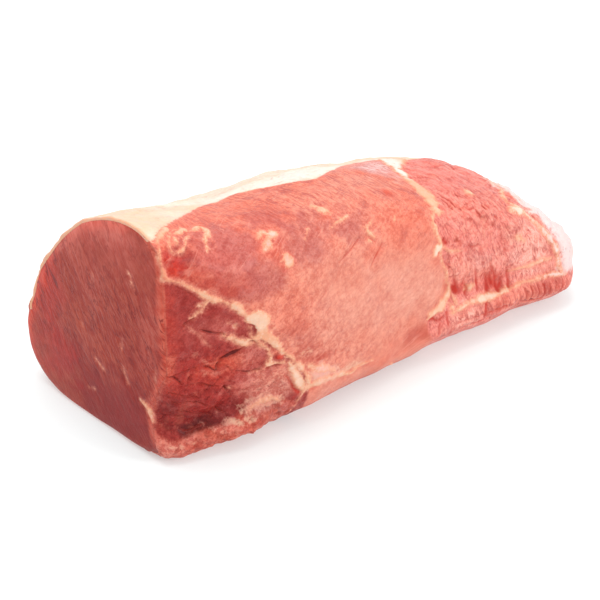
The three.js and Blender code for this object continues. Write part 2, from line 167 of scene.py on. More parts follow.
# Dark cracks, given as the seams are. Their darker red and near-black red insides are painted shade.
CRACKS = {
    "under seam": [(4.7, 43, -0.3), (8.2, 41, 0.05), (12.6, 38.5, 0.1), (16.9, 35, -0.1), (19.5, 33.5, -0.4)],
    "ring dot": [(30.6, 60, -0.2), (31.2, 59.8, -0.2)],
    "ring low dot": [(29.5, 57.2, -0.3), (30.1, 56.8, -0.3)],
    "upper crack": [(16.3, 22.3, 0.1), (19.1, 21, 0.4), (22.5, 19.5, 0.3), (26.8, 17.8, 0.1)],
    "main crack": [
        (22.5, 4.2, -0.3), (25.1, 4.8, 0.2), (27.7, 5.8, 0.6), (30.5, 7.1, 0.75), (33, 8.3, 0.5), (35.6, 9.6, 0.2),
    ],
    "main crack foot": [(25.1, 4.7, 0.2), (23.7, 1.3, 0.3), (23.3, -1.5, 0.4), (20.5, 0.5, 0.4), (17.6, 2.5, 0.1)],
    "long layer": [
        (1.8, 0.2, -0.1), (5.4, 0.8, 0), (10.5, 1.8, 0.1), (15.4, 3, 0.1), (19.4, 4.4, 0), (23.6, 4.5, -0.3),
    ],
    "branch crack": [(32, -2.5, 0), (37.6, -4.8, 0.4), (40.7, -4.6, 0.4), (43.4, -4.3, 0.2)],
    "strand crack": [(47.1, -4.3, 0.1), (50.3, -4.2, 0.3), (53.9, -4, 0.1)],
    "wedge crack": [(38.1, 12, 0.1), (39.5, 12, 0.2), (40.6, 11, 0.1)],
    "low nick": [(26.8, -11.5, 0), (28.7, -13.5, 0.2), (30.6, -15.4, -0.1)],
    "left nick": [(9.6, 26.8, 0.4), (11.6, 27.2, 0.2), (14.2, 28.1, -0.1)],
    "left fold": [(1.6, 0.2, 0), (4.1, -0.8, 0.3), (6.5, -4, 0.35), (7.1, -5.6, 0)],
    "left fold end": [(11.8, -1.1, 0), (10.9, -3, 0.3), (9.9, -5, 0)],
    "middle fold": [(14.7, -7, 0), (20.1, -10, 0.2), (24.2, -10.5, 0)],
    "crescent": [(24.8, -24.5, 0.1), (25.9, -26, 0.4), (27.9, -26.5, 0)],
    "first layer": [(2.5, -11, 0), (7.2, -13, 0.15), (15.3, -16, 0)],
    "second layer": [(4.1, -17.5, 0), (12.5, -18, 0.2), (20.6, -21.5, 0)],
    "third layer": [(6.1, -22.5, 0), (16, -27, 0.2), (22.6, -28, 0)],
    "fine fold": [(8.2, 8, -0.3), (11.3, 8.5, -0.1), (14.9, 6.5, -0.2)],
    "fine cross fold": [(26.5, 1.5, -0.2), (29.3, -1, -0.1), (31.1, -5.5, -0.3)],
    "foot crevice": [(8.4, -34.3, -0.2), (12, -34.8, 0.3), (16.1, -33.3, 0.3), (20.6, -31.3, -0.1)],
    "strap foot": [(203, -13.5, 0.2), (208.5, -15, 0.5), (215, -15, 0.4), (221, -14.5, 0.2)],
}
# Softer red folds, slits and pits, given as the seams are. Their deep red is partly the meat's own colour and partly
# painted shade in the creases.
FOLDS = {
    "patch fold": [(56.9, -11.5, 0.2), (59.3, -15.5, 0.4), (60.8, -18.5, 0.7), (63.3, -20.5, 0.5)],
    "long slit": [(102.2, 43, -0.2), (98.3, 41, 0.1), (94, 39, 0.1), (87.8, 36, -0.2)],
    "short slit": [(99.6, 43, -0.3), (96.3, 41, -0.1), (91.9, 39, -0.3)],
    "right slit": [(114.5, 39.5, -0.1), (110.8, 36, 0.2), (107.8, 33.5, 0.1), (104.9, 30.5, -0.2)],
    "right slit top": [(108, 43.5, 0), (108.7, 42, 0), (110.7, 40.5, -0.1)],
    "tail crown fold": [(186, 86.5, 0), (189.4, 84, 0.2), (198.3, 85.5, 0.3), (205.2, 88, 0)],
    "collar crown fold": [(161.4, 75, 0), (167.8, 75.5, 0.2), (172.3, 73, 0)],
    "left pleat pit": [(160, 8.5, 0.2), (160.5, 7, 0.7), (161, 5, 0.9)],
    "middle pleat pit": [(166.2, 9.5, 0.2), (166.2, 7, 0.6)],
    "right pleat pit": [(183.4, 10.5, 0.2), (184, 6, 0.5), (185.5, 2, 0.9)],
    "end pleat pit": [(192.8, 2, 0.3), (192.4, -0.5, 0.9), (190.5, -1.5, 0.9)],
    "collar pit": [(153.3, 34.5, 0.7), (154.9, 33, 0.8)],
    "strip pit": [(161.2, 7, 0.8), (162.5, 4.5, 0.9)],
    "strip upper pit": [(167.7, 9, 0.9), (167.6, 7, 0.9)],
    "under collar foot": [(144.2, -9, 0.3), (146.4, -8, 0.6), (149.5, -9.5, 0.5), (152.8, -8.5, 0.5)],
    "first pleat": [(161.7, 4, 1), (161.3, 9, 0.6), (159.3, 15, 0.1), (156.2, 21, -0.2)],
    "second pleat": [(169.5, 0.5, 0.8), (169.9, 4.5, 0.4), (165.6, 12.5, 0)],
    "third pleat": [(176, 1, 0.8), (176.2, 6, 0.9), (173.3, 13, 0.4), (170.2, 20.5, -0.2)],
    "fourth pleat": [(183, -1, 0.8), (182.9, 4, 0.5), (181.4, 10.5, 0)],
    "fifth pleat": [(189.3, -2.5, 1.3), (188, 3.5, 1.2), (184.4, 11, 0.6), (181, 18, 0)],
    "sixth pleat": [(196.2, -2.5, 0.8), (197.2, 1.5, 0.7), (195.1, 8, 0.3), (190.7, 14.5, -0.1)],
    "foot slit": [(149.2, -16, 0.6), (149.5, -13, 0.5), (150.6, -11, 0.4)],
    "membrane slit": [(163, -21, 0.2), (170, -20, 0.6), (178, -19, 0.6), (184, -18, 0.2)],
    "strap slit": [(180.3, -7.5, 0.6), (178.8, -10, 0.9), (178.7, -14, 0.9)],
    "strap end slit": [(155.1, -6.5, 0.5), (155.2, -10, 0.7), (155.3, -13, 0.7)],
    "strap foot": [(158.8, -15.5, 0), (164.1, -13.5, 0.1), (172.9, -13, 0.1), (182.3, -13, 0.2), (192.7, -12, 0.2)],
    "tail gash": [(174.9, 48.5, 0), (176.4, 46.5, 0.4), (180.7, 47, 0)],
    "tail dent": [(186.7, 46.5, 0.8), (187.6, 45, 0.7)],
    "tail right dent": [(189.1, 40, 0.7), (189.8, 39, 0.6)],
    "tail low gash": [(168.3, 29.5, 0), (171.9, 28, 0.4), (175.3, 28.5, 0)],
}

# Short veins on the cut end, as [millimetres across, millimetres up, half the width], and its corner of fat
CUT_VEINS = {
    "left vein": [(6.3, 79.8, -0.2), (5.7, 77, 0.2), (5.1, 73.5, -0.2)],
    "upper vein": [(-20.2, 90.6, -0.2), (-21.6, 87.7, 0.1), (-23.6, 84.1, -0.2)],
    "middle vein": [(-13.5, 54.6, -0.1), (-13.4, 50, -0.2)],
    "low vein": [(5.9, 35, -0.2), (3, 33.6, 0), (-0.1, 31.9, -0.2)],
    "long low vein": [(-13.2, 40, -0.1), (-14.8, 36.9, 0), (-16.5, 33.7, -0.2)],
    "right vein": [(-35.7, 47.9, -0.2), (-35.3, 45.4, 0), (-35, 42.4, -0.2)],
    "left dot": [(15.5, 49.4, -0.1), (14.2, 47.9, -0.2)],
    "foot vein": [(13.6, 16.5, -0.2), (8.9, 17.8, -0.3)],
    "corner fat": [(-25.6, 28.3, 0.5), (-27.8, 27.5, 0.9), (-30.2, 26.6, 1.3), (-30.8, 24.3, 1.2), (-31.7, 21.6, 0.9)],
}
LINE_STEP = 0.4  # how far apart the points along a line are

# The front rim of the cut end as millimetres up and across, where it turns back into the front at its foot
CUT_RIM = ([0, 7, 13, 19, 27, 36.5, 46.5, 58, 66], [-35, -34.5, -33.5, -31.8, -32.9, -36.2, -40.9, -45, -56])
RIM_SLOPE = 0.9  # how fast the front falls away from that rim
RIM_REACH = 28.0  # how far along the roast it does so
# The top of the rough lip along the foot, as an angle at each distance along
LIP_TOP = (
    [0, 4.5, 8.7, 17.5, 25.3, 31.4, 36.6, 41, 46, 52, 57, 62, 66],
    [-40, -39, -37, -34, -31, -28.5, -25, -21, -19.5, -20, -23, -25, -27],
)

# Colours as they look in a soft white light, red, green and blue from 0 to 255
COLOURS = {
    "lip pink": (218, 108, 92), "peach pink": (242, 170, 150), "red brown": (176, 60, 44), "rim red": (220, 78, 60), "lip bounce light": (244, 142, 126), "rim salmon": (224, 110, 94), "rim pink": (230, 122, 110), "strap pink": (270, 170, 152), "tail pink": (258, 156, 144), "tail light": (275, 192, 176),
    "white skin": (253, 238, 236), "pale rose": (228, 158, 146), "ember": (236, 104, 84), "white fat": (253, 243, 232),
    "seam orange": (226, 130, 105), "seam cream": (251, 202, 172),
    "salmon": (246, 156, 135), "pale salmon": (249, 168, 148), "coral": (247, 138, 116), "rose": (222, 124, 114),
    "deep rose": (212, 108, 100), "dusky rose": (204, 116, 110), "blush": (250, 186, 180), "wine": (180, 76, 72),
    "brick": (182, 70, 66), "dark brick": (142, 54, 47), "red": (206, 82, 72), "bright red": (222, 70, 60),
    "dull brown": (164, 77, 67), "pale brown": (183, 92, 83), "dark brown": (140, 50, 36),
    "pink": (242, 150, 140), "pale pink": (247, 172, 160), "lilac": (247, 214, 212), "cream": (251, 212, 182),
    "ivory": (253, 234, 214), "orange cream": (250, 178, 142), "peach": (250, 190, 160), "crevice shade": (112, 14, 12),
}
LIGHT = 1.27  # how bright the roast's skin is lit
SHINE = 0.036  # what its moist gloss adds everywhere
CUT_LIGHT = 0.76  # the cut end's share of that light
RIM_LIGHT = 0.95  # and that of its front rim, which leans towards the light

# Patches of colour as [along, angle, reach along, reach across, colour, strength]
LEAN_PATCHES = [
    (100, 20, 75, 60, "salmon", 1), (34, 49, 22, 16, "rose", 1), (39, 36, 13, 8, "deep rose", 0.8),
    (60, 24, 12, 12, "coral", 0.5), (61, 69, 20, 8, "coral", 0.9), (34, 70, 16, 5, "coral", 0.9),
    (97, 66, 24, 9, "salmon", 0.8), (128, 71, 16, 10, "salmon", 0.9), (152, 89, 15, 12, "blush", 0.95),
    (157, 96, 10, 6, "blush", 0.6), (135, 61, 3, 3, "ember", 0.9), (130, 43, 20, 12, "coral", 0.8),
    (66, 60, 12, 8, "deep rose", 0.7), (72, 44, 15, 10, "dusky rose", 0.7), (85, 50, 14, 8, "dusky rose", 0.6),
    (102, 49, 11, 7, "dusky rose", 0.6), (56, 42, 6, 5, "ember", 0.5), (49, 48, 7, 5, "ember", 0.2),
    (45, 51, 9, 7, "dusky rose", 0.5), (15, 56, 9, 6, "coral", 0.6), (24, 47, 14, 7, "deep rose", 0.6),
    (48, 38, 14, 8, "dusky rose", 0.5), (33, 53, 14, 6, "dusky rose", 0.4), (9, 50, 8, 5, "wine", 1),
    (57, 50, 7, 6, "ember", 0.5), (60, 40, 5, 4, "ember", 0.5),
    (6, 46.5, 6, 4, "bright red", 0.85), (3, 52, 2.5, 5, "bright red", 0.7), (13, 43.5, 9, 3, "red", 0.9),
    (20, 40, 9, 3, "red", 0.75), (31, 35, 8, 3, "red", 0.65),
    # The red patch at 105 along, -37 degrees darkens the bottom of the front: partly the meat's own red, partly painted
    # shade where it meets the floor.
    (129, 15, 24, 16, "pale salmon", 0.9), (95, 14, 26, 14, "pale salmon", 0.5), (84, -25, 40, 5, "pale salmon", 0.4), (105, -37, 50, 6, "red", 0.6),
    (52, 2, 3.5, 4, "bright red", 0.9), (66, 2, 8, 5, "red", 0.5), (71, -5, 9, 2.5, "red", 0.7), (60, 14, 8, 6, "red", 0.4),
    (138, -14, 12, 5, "red", 0.6), (120, -22, 14, 4, "coral", 0.5), (111, 37, 7, 4, "coral", 0.7),
]
FOOT_PATCHES = [
    (8, 32, 12, 9, "wine", 1), (25, 26, 12, 7, "wine", 0.8), (30, 22, 9, 6, "deep rose", 0.5),
    (14, -3, 14, 16, "brick", 1), (27, -2, 12, 8, "red", 0.9), (36, 2, 9, 6, "coral", 0.5), (27, 1, 8, 4, "ember", 0.5), (50, 4, 4, 3, "coral", 0.9),
    (53, 0.5, 2.5, 2, "bright red", 0.9), (44, 12, 4, 4, "orange cream", 0.8), (20, 22, 10, 6, "rose", 0.35),
    (9, -23, 16, 9, "dark brick", 0.6), (20, -20, 12, 7, "brick", 0.7), (2, 22, 5, 30, "red", 0.6), (19, -29, 12, 4, "dark brick", 0.9),
    # The two near-black patches at -34.5 and -32.5 degrees are painted shade along the foot's crevice.
    (11, -34.5, 6, 3, "crevice shade", 0.8), (18, -32.5, 7, 3, "crevice shade", 0.7), (4, -33, 4, 3, "dark brick", 0.8), (38, -8, 10, 10, "deep rose", 0.9),
    (48, -14, 14, 11, "rose", 1), (56, -10, 10, 8, "pale rose", 0.4), (52, -9, 7, 5, "coral", 0.6), (40, 5, 6, 5, "rose", 0.6), (46, -14, 12, 8, "salmon", 0.3),
    (58, -30, 9, 6, "rose", 0.8), (54, -16, 10, 8, "pale salmon", 0.4),
    (30, -24, 9, 4, "dark brick", 0.6),
]
# The palest lip patches are painted light: the lip's lower side lit by light bounced up from the floor.
LIP_PATCHES = [
    (46, -23, 13, 6, "pale rose", 0.7), (33, -33, 7, 4, "coral", 0.5), (20, -38, 9, 3, "lip bounce light", 0.4),
    (12, -40, 8, 2, "red", 0.4), (40, -30, 5, 3, "red", 0.4), (35.5, -32, 3, 2, "bright red", 0.7),
    (28, -31, 8, 3, "lip bounce light", 0.7), (4, -45, 14, 8, "lip bounce light", 1),
    (24, -48, 28, 9, "lip bounce light", 1), (50, -36, 12, 6, "lip bounce light", 0.8), (56, -27, 4, 5, "rose", 0.8),
]
FILM_AND_SHEEN_PATCHES = [  # whitish skin and, on the crown, a painted sheen, without a colour
    (45, -22, 9, 4, 0.8), (53, -23, 6, 4, 0.8), (37, -25, 5, 3, 0.7), (23, -32.5, 7, 1.5, 0.5), (32, -29, 6, 2, 0.6), (38, -28, 5, 2, 0.6),
    (6, -40, 6, 2, 0.4), (15, -38, 6, 1.5, 0.4),
    # The patch at 151 along, 88 degrees is a painted reflection of the white room on the crown.
    (75, -13, 11, 6, 1), (90, -17, 14, 4, 0.6), (66, 0, 6, 4, 0.5), (45, 18, 6, 6, 0.3), (151, 88, 12, 8, 0.55), (110, 27, 5, 2, 0.4), (88, 30, 7, 2, 0.4),
    (40, 48, 7, 5, 0.3), (60, 45, 9, 4, 0.3), (223, 62, 12, 12, 1), (226, 48, 12, 14, 1), (231, 34, 12, 15, 1),
    (235, 20, 12, 14, 1), (238, 8, 11, 10, 1), (245, 60, 10, 30, 0.7), (217, 68, 9, 8, 0.8), (244, 150, 10, 40, 0.6),
    (200, 60, 8, 5, 0.35), (207, 41, 5, 4, 0.6), (14, 56, 8, 4, 0.35), (150, 215, 30, 8, 0.5), (60, 222, 26, 8, 0.5), (215, 212, 14, 8, 0.6),
]
TAIL_PATCHES = [
    (188, 69, 26, 14, "pink", 0.4), (213, 17, 18, 14, "tail light", 0.7), (170, -11, 14, 6, "tail light", 0.8),
    (173, 17, 14, 7, "pale pink", 0.8), (197, -9, 24, 5, "coral", 0.7), (167, -11, 10, 5, "pale salmon", 0.8),
    (205, -19, 16, 4, "red", 0.6), (160, -17, 14, 4, "red", 0.5), (198, 52, 18, 10, "pink", 0.6),
    (167, -10, 14, 8, "tail light", 0.8), (212, 24, 14, 14, "pale pink", 0.6), (222, -8, 14, 6, "strap pink", 0.5), (160, 16, 10, 8, "strap pink", 0.6),
    (214, 16, 24, 20, "tail light", 0.75), (175, 12, 18, 8, "strap pink", 0.6), (198, -9, 30, 7, "strap pink", 0.6),
    (180, 45, 30, 14, "salmon", 0.3), (163, 5, 6, 4, "bright red", 0.6), (188, 3, 8, 5, "bright red", 0.7),
    (153, 34, 3, 3, "bright red", 0.6), (218, -8, 16, 5, "red", 0.5), (224, 14, 4, 9, "red", 0.5),
    (186, -12, 12, 4, "red", 0.4),
]
CUT_PATCHES = [  # millimetres across and up the cut end, and the reaches
    (-4, 101, 34, 12, "pale brown", 0.6), (-6, 105, 22, 4, "rose", 0.4), (42, 60, 15, 36, "red brown", 0.6),
    (-8, 14, 34, 22, "dark brown", 0.9), (-24, 30, 10, 22, "dark brown", 0.5), (20, 30, 16, 14, "dark brown", 0.5),
    (36, 26, 14, 16, "red brown", 0.6), (-34, 66, 10, 26, "pale brown", 0.5), (10, 78, 14, 12, "pale brown", 0.4),
]
FAT_PATCHES = [
    (30, 74, 24, 7, "ivory", 0.6), (166, 93, 12, 9, "white fat", 1), (90, 92, 70, 8, "ivory", 0.8),
    (90, 86, 44, 7, "white fat", 0.8), (22, 70, 14, 4, "white fat", 0.4), (8, 76, 16, 12, "cream", 0.8), (16, 70, 14, 5, "orange cream", 0.25),
    (8, 59, 7, 4, "ivory", 0.8), (115, 92, 30, 8, "white fat", 0.8),
    (163, 88, 12, 14, "white fat", 1), (232, 150, 9, 40, "salmon", 0.5), (170, 195, 40, 5, "coral", 0.3), (90, 110, 70, 16, "ivory", 0.6),
    (150, 150, 20, 14, "peach", 0.6), (60, 160, 22, 12, "orange cream", 0.4), (205, 140, 18, 16, "peach", 0.6),
    (110, 180, 26, 8, "peach", 0.6), (30, 150, 18, 14, "ivory", 0.6), (185, 175, 20, 8, "orange cream", 0.4),
    (12, 70, 14, 12, "cream", 0.6),
]
SEAM_FAT_PATCHES = [
    (40, 22, 8, 8, "ivory", 0.2), (75, -11, 10, 7, "blush", 0.7), (60, 52, 6, 5, "ivory", 0.6),
    (46, -23, 14, 7, "peach pink", 0.9), (232, 28, 22, 44, "white skin", 1), (206, 41, 8, 6, "ivory", 0.8),
    (166, 95, 12, 12, "white fat", 1), (176, -5, 16, 5, "ivory", 0.7), (148, 31, 5, 4, "ivory", 0.7),
    (24, -33, 14, 6, "peach pink", 1), (64, -13, 6, 8, "orange cream", 0.5), (6, 46, 12, 8, "seam orange", 1), (44, 13, 5, 5, "orange cream", 0.9),
    (60, -2, 7, 6, "orange cream", 0.6),
    # The lilac patch at 151 along, 88 degrees colours the painted sheen on the crown.
    (159, 62, 8, 14, "orange cream", 0.5), (244, 60, 14, 60, "lilac", 0.6), (151, 88, 14, 10, "lilac", 0.9),
    (100, 30, 26, 6, "pale salmon", 1), (52, 47, 20, 8, "blush", 0.8), (14, 41, 8, 4, "orange cream", 0.7),
    (165, 89, 10, 12, "white fat", 1), (61, -11, 5, 9, "ivory", 0.5),
]


def faded(value, start, end):
    """0 at start, 1 at end, and smooth between them, whichever way they run."""
    share = np.clip((value - start) / (end - start), 0, 1)
    return share * share * (3 - 2 * share)


def soft_noise(points, size, seed):
    """Smooth random heights from about -1 to 1, with one lump taking about size millimetres."""
    heights = np.random.default_rng(seed).uniform(-1.4, 1.4, (32, 32, 32))
    scaled = points / size
    cell = np.floor(scaled).astype(int)
    share = scaled - cell
    share = share * share * (3 - 2 * share)
    total = np.zeros(len(points))
    for corner in itertools.product((0, 1), repeat=3):
        weight = np.prod(np.where(corner, share, 1 - share), axis=1)
        column, row, layer = ((cell + corner) % 32).T
        total += weight * heights[column, row, layer]
    return total


def smooth_line(places):
    """A smooth run of places through the given ones."""
    given = np.array(places, float)
    before = 2 * given[0] - given[1]
    after = 2 * given[-1] - given[-2]
    padded = np.vstack([before, given, after])
    runs = []
    for earlier, start, end, later in zip(padded, padded[1:], padded[2:], padded[3:]):
        turn = math.radians(end[1] - start[1]) * MEAN_RADIUS
        steps = max(2, round(math.hypot(end[0] - start[0], turn) / LINE_STEP))
        share = np.linspace(0, 1, steps, endpoint=False)[:, None]
        pull = 2 * earlier - 5 * start + 4 * end - later
        bend = 3 * start - earlier - 3 * end + later
        runs.append(start + 0.5 * ((end - earlier) * share + pull * share**2 + bend * share**3))
    return np.vstack([*runs, given[-1:]])


def core_at(along):
    """The core line's place across and up, at a distance from the cut end."""
    share = np.asarray(along, float)[..., None] / ROAST_LENGTH
    return CORE_AT_CUT + (CORE_AT_TAIL - CORE_AT_CUT) * share


def skin_point(skin, along, angle):
    """The point of the skin straight out from the core line, in millimetres."""
    across, up = core_at(along)
    turn = math.radians(angle)
    outwards = Vector((0, -math.cos(turn), math.sin(turn)))
    return skin.ray_cast(Vector((CUT_PLANE + along, across, up)), outwards)[0]


def cut_point(skin, across, up):
    """The point of the cut end at that place across and up."""
    return skin.ray_cast(Vector((CUT_PLANE - 20, across, up)), Vector((1, 0, 0)))[0]


def beyond_rim(points):
    """Millimetres from the cut end's front rim out towards its lower front corner."""
    return np.interp(points[:, 2], *CUT_RIM) - points[:, 1]


def turn_corner_back(shape):
    """Lets the cut end turn back into the front at its lower front corner."""
    points = points_of(shape)
    beyond = np.maximum(beyond_rim(points), 0)
    back = RIM_SLOPE * (np.sqrt(beyond**2 + 1) - 1)
    share = np.clip(1 - (points[:, 0] - CUT_PLANE) / RIM_REACH, 0, 1)
    for vertex, distance in zip(shape.verts, back * share):
        vertex.co.x += distance * MILLIMETRE


class Lines:
    """Lines over the skin, as points with half widths, and how far other points are inside or outside them."""

    def __init__(self):
        self.points = []
        self.half_widths = []

    def add(self, find_point, skin, places):
        for first, second, *rest in smooth_line(places):
            point = find_point(skin, first, second)
            if point is not None:
                self.points.append(point)
                self.half_widths.append(rest[0] if rest else 0)

    def index(self):
        uneven = soft_noise(np.array([point[:] for point in self.points]), 2.8, 61)
        self.half_widths = np.array(self.half_widths) * (1 + 0.4 * uneven)
        self.tree = KDTree(len(self.points))
        for number, point in enumerate(self.points):
            self.tree.insert(point, number)
        self.tree.balance()

    def inside(self, points):
        """Millimetres inside the nearest line's edge, or outside it if negative."""
        found = np.empty(len(points))
        for number, point in enumerate(points):
            found[number] = max(self.half_widths[near] - far for _, near, far in self.tree.find_n(point, 3))
        return found


def points_of(mesh_or_bmesh):
    """A mesh's vertices in millimetres."""
    if isinstance(mesh_or_bmesh, bpy.types.Mesh):
        places = np.empty(len(mesh_or_bmesh.vertices) * 3)
        mesh_or_bmesh.vertices.foreach_get("co", places)
        return places.reshape(-1, 3) / MILLIMETRE
    return np.array([vertex.co[:] for vertex in mesh_or_bmesh.verts]) / MILLIMETRE


def rounded_copy(node, name):
    """A copy of a CAD node with its corners merged, its triangles paired into quads and its facets rounded."""
    shape = bmesh.new()
    shape.from_mesh(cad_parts[node].data)
    bmesh.ops.remove_doubles(shape, verts=shape.verts, dist=WELD)
    bmesh.ops.join_triangles(
        shape, faces=shape.faces, angle_face_threshold=math.pi, angle_shape_threshold=math.pi
    )
    mesh = bpy.data.meshes.new(name)
    shape.to_mesh(mesh)
    piece = bpy.data.objects.new(name, mesh)
    bpy.context.scene.collection.objects.link(piece)
    rounding = piece.modifiers.new("rounding", "SUBSURF")
    rounding.levels = rounding.render_levels = 2
    evaluated = piece.evaluated_get(bpy.context.evaluated_depsgraph_get())
    shape.clear()
    shape.from_mesh(bpy.data.meshes.new_from_object(evaluated))
    piece.modifiers.clear()
    return piece, shape


def thin_out(shape, never_shows):
    """Takes three of four rows of faces out of what never shows."""
    skin = Skin(shape)
    hidden = never_shows(skin, (skin.normals * skin.outwards).sum(1))
    verts = [vertex for vertex in shape.verts if hidden[vertex.index]]
    bmesh.ops.unsubdivide(shape, verts=verts, iterations=4)


def refine(shape, wanted, longest):
    """Halves the edges that are longer than longest and have both ends wanted."""
    chosen = wanted(Skin(shape))
    edges = [
        edge
        for edge in shape.edges
        if chosen[edge.verts[0].index] and chosen[edge.verts[1].index]
        and edge.calc_length() > longest * MILLIMETRE
    ]
    bmesh.ops.subdivide_edges(shape, edges=edges, cuts=1, use_grid_fill=True)


def near_lines(skin, reach):
    return (np.maximum(skin.crack, np.maximum(skin.fold, skin.seam)) > -reach) & (skin.seam < 1.2)


def fine_relief(skin):
    """Where the skin is rough: the front of the tail and the front of the foot."""
    tail = (skin.past_collar > 0) & (abs(skin.angle - 41) < 60) & (skin.fat < 1)
    foot = (skin.below_seam > 0) & (skin.angle > -46) & (skin.along > 0.5)
    return tail | foot


class Skin:
    """Where a piece's vertices lie on the roast, and how far from the fat's edge and the lines over it."""

    def __init__(self, shape):
        shape.normal_update()
        shape.verts.index_update()
        self.points = points_of(shape)
        self.normals = np.array([vertex.normal[:] for vertex in shape.verts])
        self.along = self.points[:, 0] - CUT_PLANE
        offset = self.points[:, 1:] - core_at(self.along)
        self.radius = np.hypot(*offset.T)
        degrees = np.degrees(np.arctan2(offset[:, 1], -offset[:, 0]))
        self.angle = np.mod(degrees + 110, 360) - 110
        out = offset / self.radius[:, None]
        self.outwards = np.column_stack([np.zeros(len(out)), out])
        beyond = beyond_rim(self.points)
        self.from_rim = self.along + np.maximum(beyond, 0)
        self.on_cut = faded(-self.normals[:, 0], 0.5, 0.8) * faded(self.along, 4, 3) * faded(beyond, 0.3, -0.9)
        self.fat = fat_inside(self)
        self.seam = SEAM_LINES.inside(self.points)
        self.crack = CRACK_LINES.inside(self.points)
        self.fold = FOLD_LINES.inside(self.points)
        seam_angle = np.interp(self.along, *FRONT_SEAM)
        self.below_seam = faded(seam_angle - self.angle, -2, 2) * faded(self.angle, -75, -55)
        collar_along = np.interp(self.angle, *COLLAR)
        self.past_collar = faded(self.along - collar_along, -1, 1)
        self.across = np.maximum(self.past_collar, faded(self.angle, 46, 66)) * (1 - self.on_cut)
        calm = faded(self.along + 0.7 * self.angle, 70, 115) * (1 - self.past_collar) * faded(self.angle, 50, 28)
        crown = self.across * (1 - self.past_collar)
        foot = self.below_seam * (1 - self.past_collar) * (1 - self.on_cut)
        self.lip = foot * faded(np.interp(self.along, *LIP_TOP) - self.angle, -1, 1) * faded(self.along, 64, 57)
        tail_front = self.past_collar * faded(self.angle, 72, 52)
        lively = (1 - self.below_seam) * (1 - self.past_collar) * (1 - self.on_cut) * (1 - calm)
        lively *= faded(self.angle, 62, 50)
        self.busy = 1 - 0.4 * calm + 0.65 * crown + foot * (1.2 - 0.9 * faded(self.angle, 4, 20))
        self.busy += 0.3 * self.past_collar + 0.15 * tail_front + 0.2 * lively
        self.busy *= 1 - 0.5 * faded(self.angle, -10, -18) * (1 - self.on_cut) * (1 - foot) * (1 - self.past_collar)
        self.crumbly = 0.6 + 0.15 * calm - 0.35 * crown + 0.4 * foot - 0.3 * self.past_collar + 0.4 * tail_front + 0.2 * lively
        self.crumbly *= 1 - self.on_cut
        height = self.points[:, 2]
        streaky = 1.1 - 0.6 * faded(height, 74, 94) - 0.5 * faded(height, 42, 18)
        self.busy += (streaky - self.busy) * self.on_cut
        self.film_and_sheen = film_and_sheen_cover(self)
        turning = faded(-self.normals[:, 0], 0.2, 0.45) * faded(-self.normals[:, 0], 0.97, 0.86)
        self.cut_rim = turning * (self.along < 5) * faded(self.points[:, 1], 5, 30) * faded(self.fat, 1, -1)


def fat_inside(skin):
    """Millimetres inside the edge of the fat over the back, or outside it if negative."""
    far = np.array([FAT_EDGE_TREE.find(point)[2] for point in skin.points])
    front = np.interp(skin.along, *zip(*FAT_FRONT_EDGE))
    back = np.interp(skin.along, *zip(*reversed(FAT_BACK_EDGE)))
    covered = (skin.angle > front) & (skin.angle < back) & (skin.along < FAT_END_EDGE[0][0])
    return np.where(covered, far, -far)


def film_and_sheen_cover(skin):
    """How much whitish skin lies over the lean, from 0 to 1, with a painted sheen on the crown counted in."""
    wobble = patch_wobble(skin)
    cover = np.zeros(len(skin.points))
    for *place, strength in FILM_AND_SHEEN_PATCHES:
        cover = np.maximum(cover, strength * patch_share(skin, wobble, *place))
    return cover


def keep_fat_off_cut(skin):
    """Makes the lean's cut end count as bare: the fat shows there only as its own thin edge."""
    skin.fat = skin.fat * (1 - skin.on_cut) - 6 * skin.on_cut


def patch_wobble(skin):
    """What makes the patches' edges uneven."""
    return 1 + 0.32 * soft_noise(skin.points, 7, 11) + 0.2 * soft_noise(skin.points, 2.6, 12)


def patch_share(skin, wobble, along, angle, reach_along, reach_across):
    """1 in the middle of a patch over the skin, and 0 outside it."""
    turned = np.radians(np.mod(skin.angle - angle + 180, 360) - 180) * skin.radius
    far = np.hypot((skin.along - along) / reach_along, turned / reach_across)
    return faded(far * wobble, 1.4, 0.3)


def cut_patch_share(skin, wobble, across, up, reach_across, reach_up):
    """The same for a patch on the cut end."""
    far = np.hypot((skin.points[:, 1] - across) / reach_across, (skin.points[:, 2] - up) / reach_up)
    return faded(far * wobble, 1.4, 0.3)


def painted(base, skin, patches, find_share=patch_share):
    """The colour at each vertex after soft-edged patches are laid over the base colour."""
    wobble = patch_wobble(skin)
    colour = np.tile(ALBEDO[base], (len(skin.points), 1))
    for *place, name, strength in patches:
        share = strength * find_share(skin, wobble, *place)
        colour += (ALBEDO[name] - colour) * share[:, None]
    return colour


def linear(colour):
    """A colour's three channels as the share of light given back."""
    share = np.array(colour) / 255
    return np.where(share <= 0.04045, share / 12.92, ((share + 0.055) / 1.055) ** 2.4)


def from_cut_edge(skin):
    """Millimetres in from the rim of the cut end, and far more elsewhere."""
    rim = skin.points[(np.abs(skin.normals[:, 0] + 0.6) < 0.3) & (skin.along < 5)]
    if not len(rim):
        return np.full(len(skin.points), ROAST_LENGTH)
    tree = KDTree(len(rim))
    for number, point in enumerate(rim):
        tree.insert(point, number)
    tree.balance()
    return np.array([tree.find(point)[2] if near else ROAST_LENGTH for point, near in zip(skin.points, skin.on_cut > 0)])


